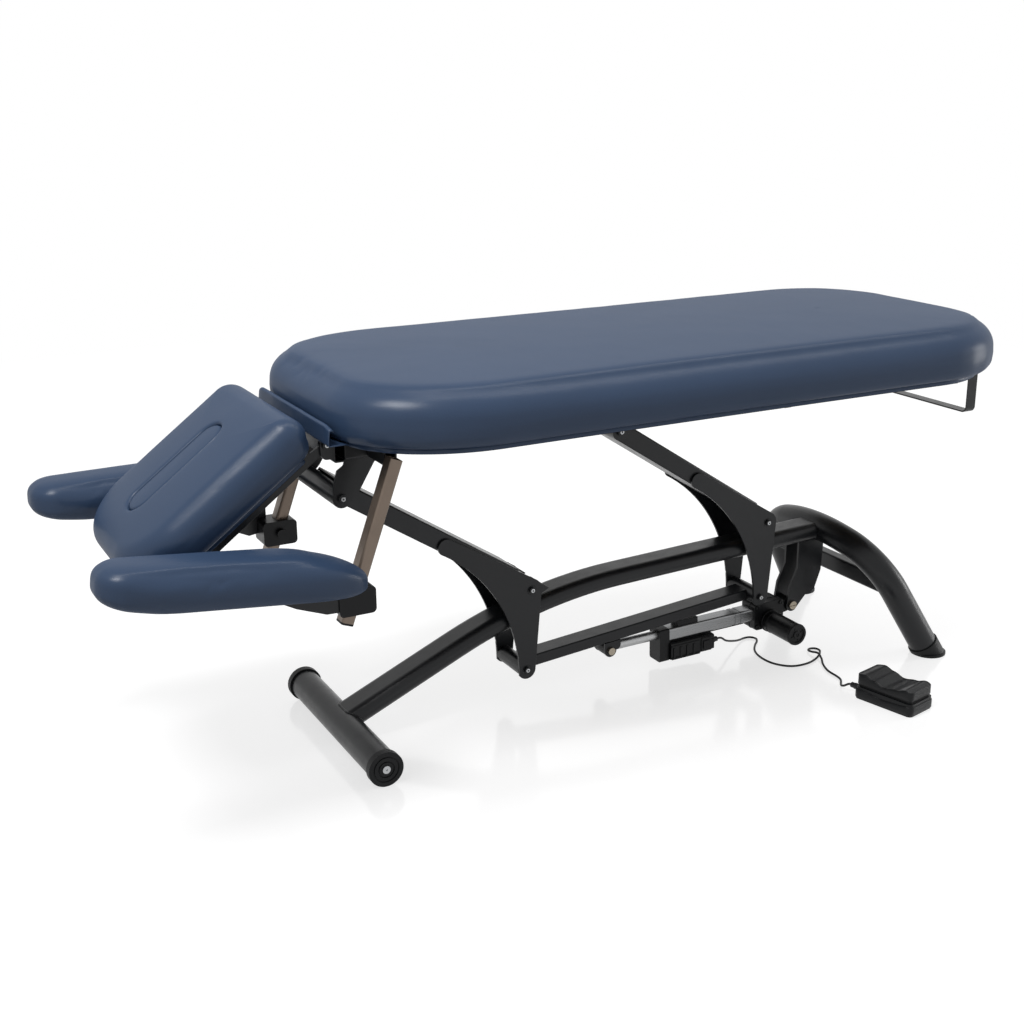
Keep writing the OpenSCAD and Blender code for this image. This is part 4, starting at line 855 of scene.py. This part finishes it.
# Ribs, rails and latch on the control box's side, and the moulded end of the push rod
BOX_SIDE, BOX_RECESS = -28.8, -26.3
clips = [block((x, BOX_SIDE - 2, -54), (x + 5, BOX_SIDE, -29)) for x in (-338, -320, -302, -284)]
clips.append(block((-343, BOX_SIDE - 2.4, -57), (-266, BOX_SIDE, -53)))
clips.append(block((-343, BOX_SIDE - 1.8, -27), (-268, BOX_SIDE, -23.5)))
clips.append(block((-262, -31, -54), (-234, BOX_RECESS, -21)))
clips.append(block((-257, -33.2, -47), (-240, -30.9, -28)))
clips.append(block((-234, -28.4, -46), (-226, BOX_RECESS, -30)))
add_piece("control_box_clips", merged(clips), ACT_AT, PLASTIC, "actuator")
sleeve = lathe([(13.4, -17.7), (14.4, -16.7), (14.4, 16.7), (13.4, 17.7)], 48)
add_piece("rod_eye_sleeve", sleeve, on_side(-502.1, 0, 0), PLASTIC, "rod")


# Skirt of the rocker and shaped flank of the foot switch
SWITCH_TO = Matrix.Translation(place(*SWITCH_AT, 0)) @ Matrix.Rotation(SWITCH_TURN, 4, "Z")
WAVE = np.array([(-1, 1.5), (-0.82, 1.75), (-0.45, 0.95), (0, 0.35), (0.4, 1.3), (0.75, 2.1), (1, 1.8)])


def wave_at(y, half):
    """Height of the wave along the switch, between the points of WAVE."""
    t = np.clip(y / half, -1, 1)
    k = np.clip(np.searchsorted(WAVE[:, 0], t) - 1, 0, len(WAVE) - 2)
    q = (t - WAVE[k, 0]) / (WAVE[k + 1, 0] - WAVE[k, 0])
    return WAVE[k, 1] + (WAVE[k + 1, 1] - WAVE[k, 1]) * (1 - np.cos(math.pi * q)) / 2


def flank(name, l, w, r, wall, foot, high, body):
    """A closed wall round the switch, from the height foot up to high(y)."""
    xy, normal = outline(l, w, (r, r), (r, r), 0, 240)
    rings = []
    for inset, on_top, up in (
        (0, False, 0.8), (0.8 - wall, False, 0), (-wall, False, 0.8),
        (-wall, True, -1.4), (1.4 - wall, True, 0), (0, True, 0),
    ):
        flat = xy - normal * inset
        edge = high(flat[:, 0]) if on_top else np.full(len(flat), foot)
        rings.append(np.column_stack([-flat[:, 1], flat[:, 0], edge + up]))
    piece = build(name, (rings, False))
    piece.data.transform(SWITCH_TO)
    dress(piece, PLASTIC, body)


flank("rocker_skirt", 131.4, 71.4, 6, 3.6, 33.6, lambda y: 42.5 + 8 * wave_at(y, 66), "rocker")
flank("switch_flank", 141.6, 81.6, 10, 2.2, 3, lambda y: 17 + 3.2 * wave_at(y, 71), "base")


# Weld bead where the spine meets the foot bar
def weld(name, points, r, body):
    """An uneven bead along a closed line of points."""
    sides, n = 8, len(points)
    turns = [math.tau * k / sides for k in range(sides)]
    pts = [Vector(p) for p in points]
    verts, faces = [], []
    for i, p in enumerate(pts):
        along = (pts[(i + 1) % n] - pts[i - 1]).normalized()
        side = along.cross(Vector((0, 0.3, 1))).normalized()
        up = side.cross(along)
        size = r * (1 + 0.16 * math.sin(i * 1.9) + 0.1 * noise.noise(p / 7))
        verts += [tuple(p + size * (side * math.cos(a) + up * math.sin(a))) for a in turns]
        a, b = i * sides, ((i + 1) % n) * sides
        faces += [(a + k, a + (k + 1) % sides, b + (k + 1) % sides, b + k) for k in range(sides)]
    at = Matrix.Translation(place(0, 0, 0))
    dress(new_object(name, verts, faces, at, outwards=False), POWDER, body)


def spine_on_bar():
    """The line where the flat-oval spine tube meets the round foot bar."""
    slope = math.radians(23.5)
    bar_z, seam_r, tube_z = 36, 32.6, 45.5
    half_w, half_h = 40, 20
    ahead = (math.cos(slope), math.sin(slope))
    up = (-math.sin(slope), math.cos(slope))
    loop = []
    for k in range(110):
        t = math.tau * k / 110
        y = half_h * math.copysign(1, math.cos(t)) * min(1, abs(math.cos(t)) * 4) + half_h * math.cos(t)
        v = half_h * math.sin(t) if abs(y) > half_h else half_h * math.copysign(1, math.sin(t))
        y = max(-half_w, min(half_w, y))
        x0, z0 = v * up[0], tube_z - bar_z + v * up[1]
        b = x0 * ahead[0] + z0 * ahead[1]
        c = x0 * x0 + z0 * z0 - seam_r ** 2
        far = -b + math.sqrt(max(0, b * b - c))
        loop.append((x0 + far * ahead[0], y, bar_z + z0 + far * ahead[1]))
    return loop


weld("spine_weld", spine_on_bar(), 2.0, "base")

# What the frame has to know of the cord
cord.data.materials.append(CORD_RUBBER)
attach(cord, "base")
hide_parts("switch_cord")


# Studio
def seen_rays(tree):
    """1 for rays from the camera and for mirrored and refracted ones."""
    rays = tree.nodes.new("ShaderNodeLightPath")
    total = rays.outputs["Is Camera Ray"]
    for kind in ("Is Glossy Ray", "Is Transmission Ray"):
        node = tree.nodes.new("ShaderNodeMath")
        node.operation = "MAXIMUM"
        tree.links.new(total, node.inputs[0])
        tree.links.new(rays.outputs[kind], node.inputs[1])
        total = node.outputs[0]
    return total


def times(tree, a, b):
    node = tree.nodes.new("ShaderNodeMath")
    node.operation = "MULTIPLY"
    for socket, value in zip(node.inputs, (a, b)):
        if isinstance(value, float):
            socket.default_value = value
        else:
            tree.links.new(value, socket)
    return node.outputs[0]


def make_floor():
    """Pale and slightly mirroring under the table, and plain white farther out."""
    fade_from, fade_to = 1.6, 4.5
    bpy.ops.mesh.primitive_plane_add(size=40, location=(0, 0, -0.0006))
    floor = bpy.context.object
    floor.name = "floor"
    mat, tree, shader = start_material("pale_floor", (0.42, 0.42, 0.423), 0.12, specular=0.35)
    at = coords(tree)
    tree.links.new(ramp(tree, noise_of(tree, at, 3, 3), 0.3, 0.7, 0.1, 0.15), shader.inputs["Roughness"])
    far = tree.nodes.new("ShaderNodeVectorMath")
    far.operation = "LENGTH"
    tree.links.new(at, far.inputs[0])
    seen = seen_rays(tree)
    glow = tree.nodes.new("ShaderNodeEmission")
    tree.links.new(times(tree, seen, 0.7), glow.inputs["Strength"])
    near = tree.nodes.new("ShaderNodeAddShader")
    tree.links.new(shader.outputs[0], near.inputs[0])
    tree.links.new(glow.outputs[0], near.inputs[1])
    white = tree.nodes.new("ShaderNodeEmission")
    mix = tree.nodes.new("ShaderNodeMixShader")
    fade = ramp(tree, far.outputs["Value"], fade_from, fade_to, 0, 1)
    tree.links.new(times(tree, seen, fade), mix.inputs[0])
    tree.links.new(near.outputs[0], mix.inputs[1])
    tree.links.new(white.outputs[0], mix.inputs[2])
    out = next(n for n in tree.nodes if n.type == "OUTPUT_MATERIAL")
    tree.links.new(mix.outputs[0], out.inputs[0])
    floor.data.materials.append(mat)


def lamp(name, place_at, target, size, power):
    data = bpy.data.lights.new(name, "AREA")
    data.shape = "RECTANGLE"
    data.size, data.size_y = size
    data.energy = power
    obj = bpy.data.objects.new(name, data)
    obj.location = place_at
    obj.rotation_mode = "QUATERNION"
    obj.rotation_quaternion = (Vector(target) - Vector(place_at)).to_track_quat("-Z", "Y")
    scene.collection.objects.link(obj)


def make_world():
    """Plain white where it is seen, and dimmer as a light."""
    world = bpy.data.worlds.new("studio")
    scene.world = world
    world.use_nodes = True
    tree = world.node_tree
    tree.nodes.clear()
    out = tree.nodes.new("ShaderNodeOutputWorld")
    seen = tree.nodes.new("ShaderNodeBackground")
    seen.inputs["Strength"].default_value = 1
    lit = tree.nodes.new("ShaderNodeBackground")
    lit.inputs["Strength"].default_value = 0.3
    for node in (seen, lit):
        node.inputs["Color"].default_value = (1, 1, 1, 1)
    mix = tree.nodes.new("ShaderNodeMixShader")
    tree.links.new(seen_rays(tree), mix.inputs[0])
    tree.links.new(lit.outputs[0], mix.inputs[1])
    tree.links.new(seen.outputs[0], mix.inputs[2])
    tree.links.new(mix.outputs[0], out.inputs[0])


make_floor()
make_world()
lamp("key", (-1.8, -0.6, 3.4), target=(0, 0, 0.6), size=(1.0, 1.0), power=64)
lamp("strip", (1.1, -0.1, 3.3), target=(1.1, -0.1, 0), size=(3.8, 0.35), power=24)
lamp("side", (3.4, -0.8, 0.75), target=(0.4, 0, 0.65), size=(0.7, 1.3), power=22)
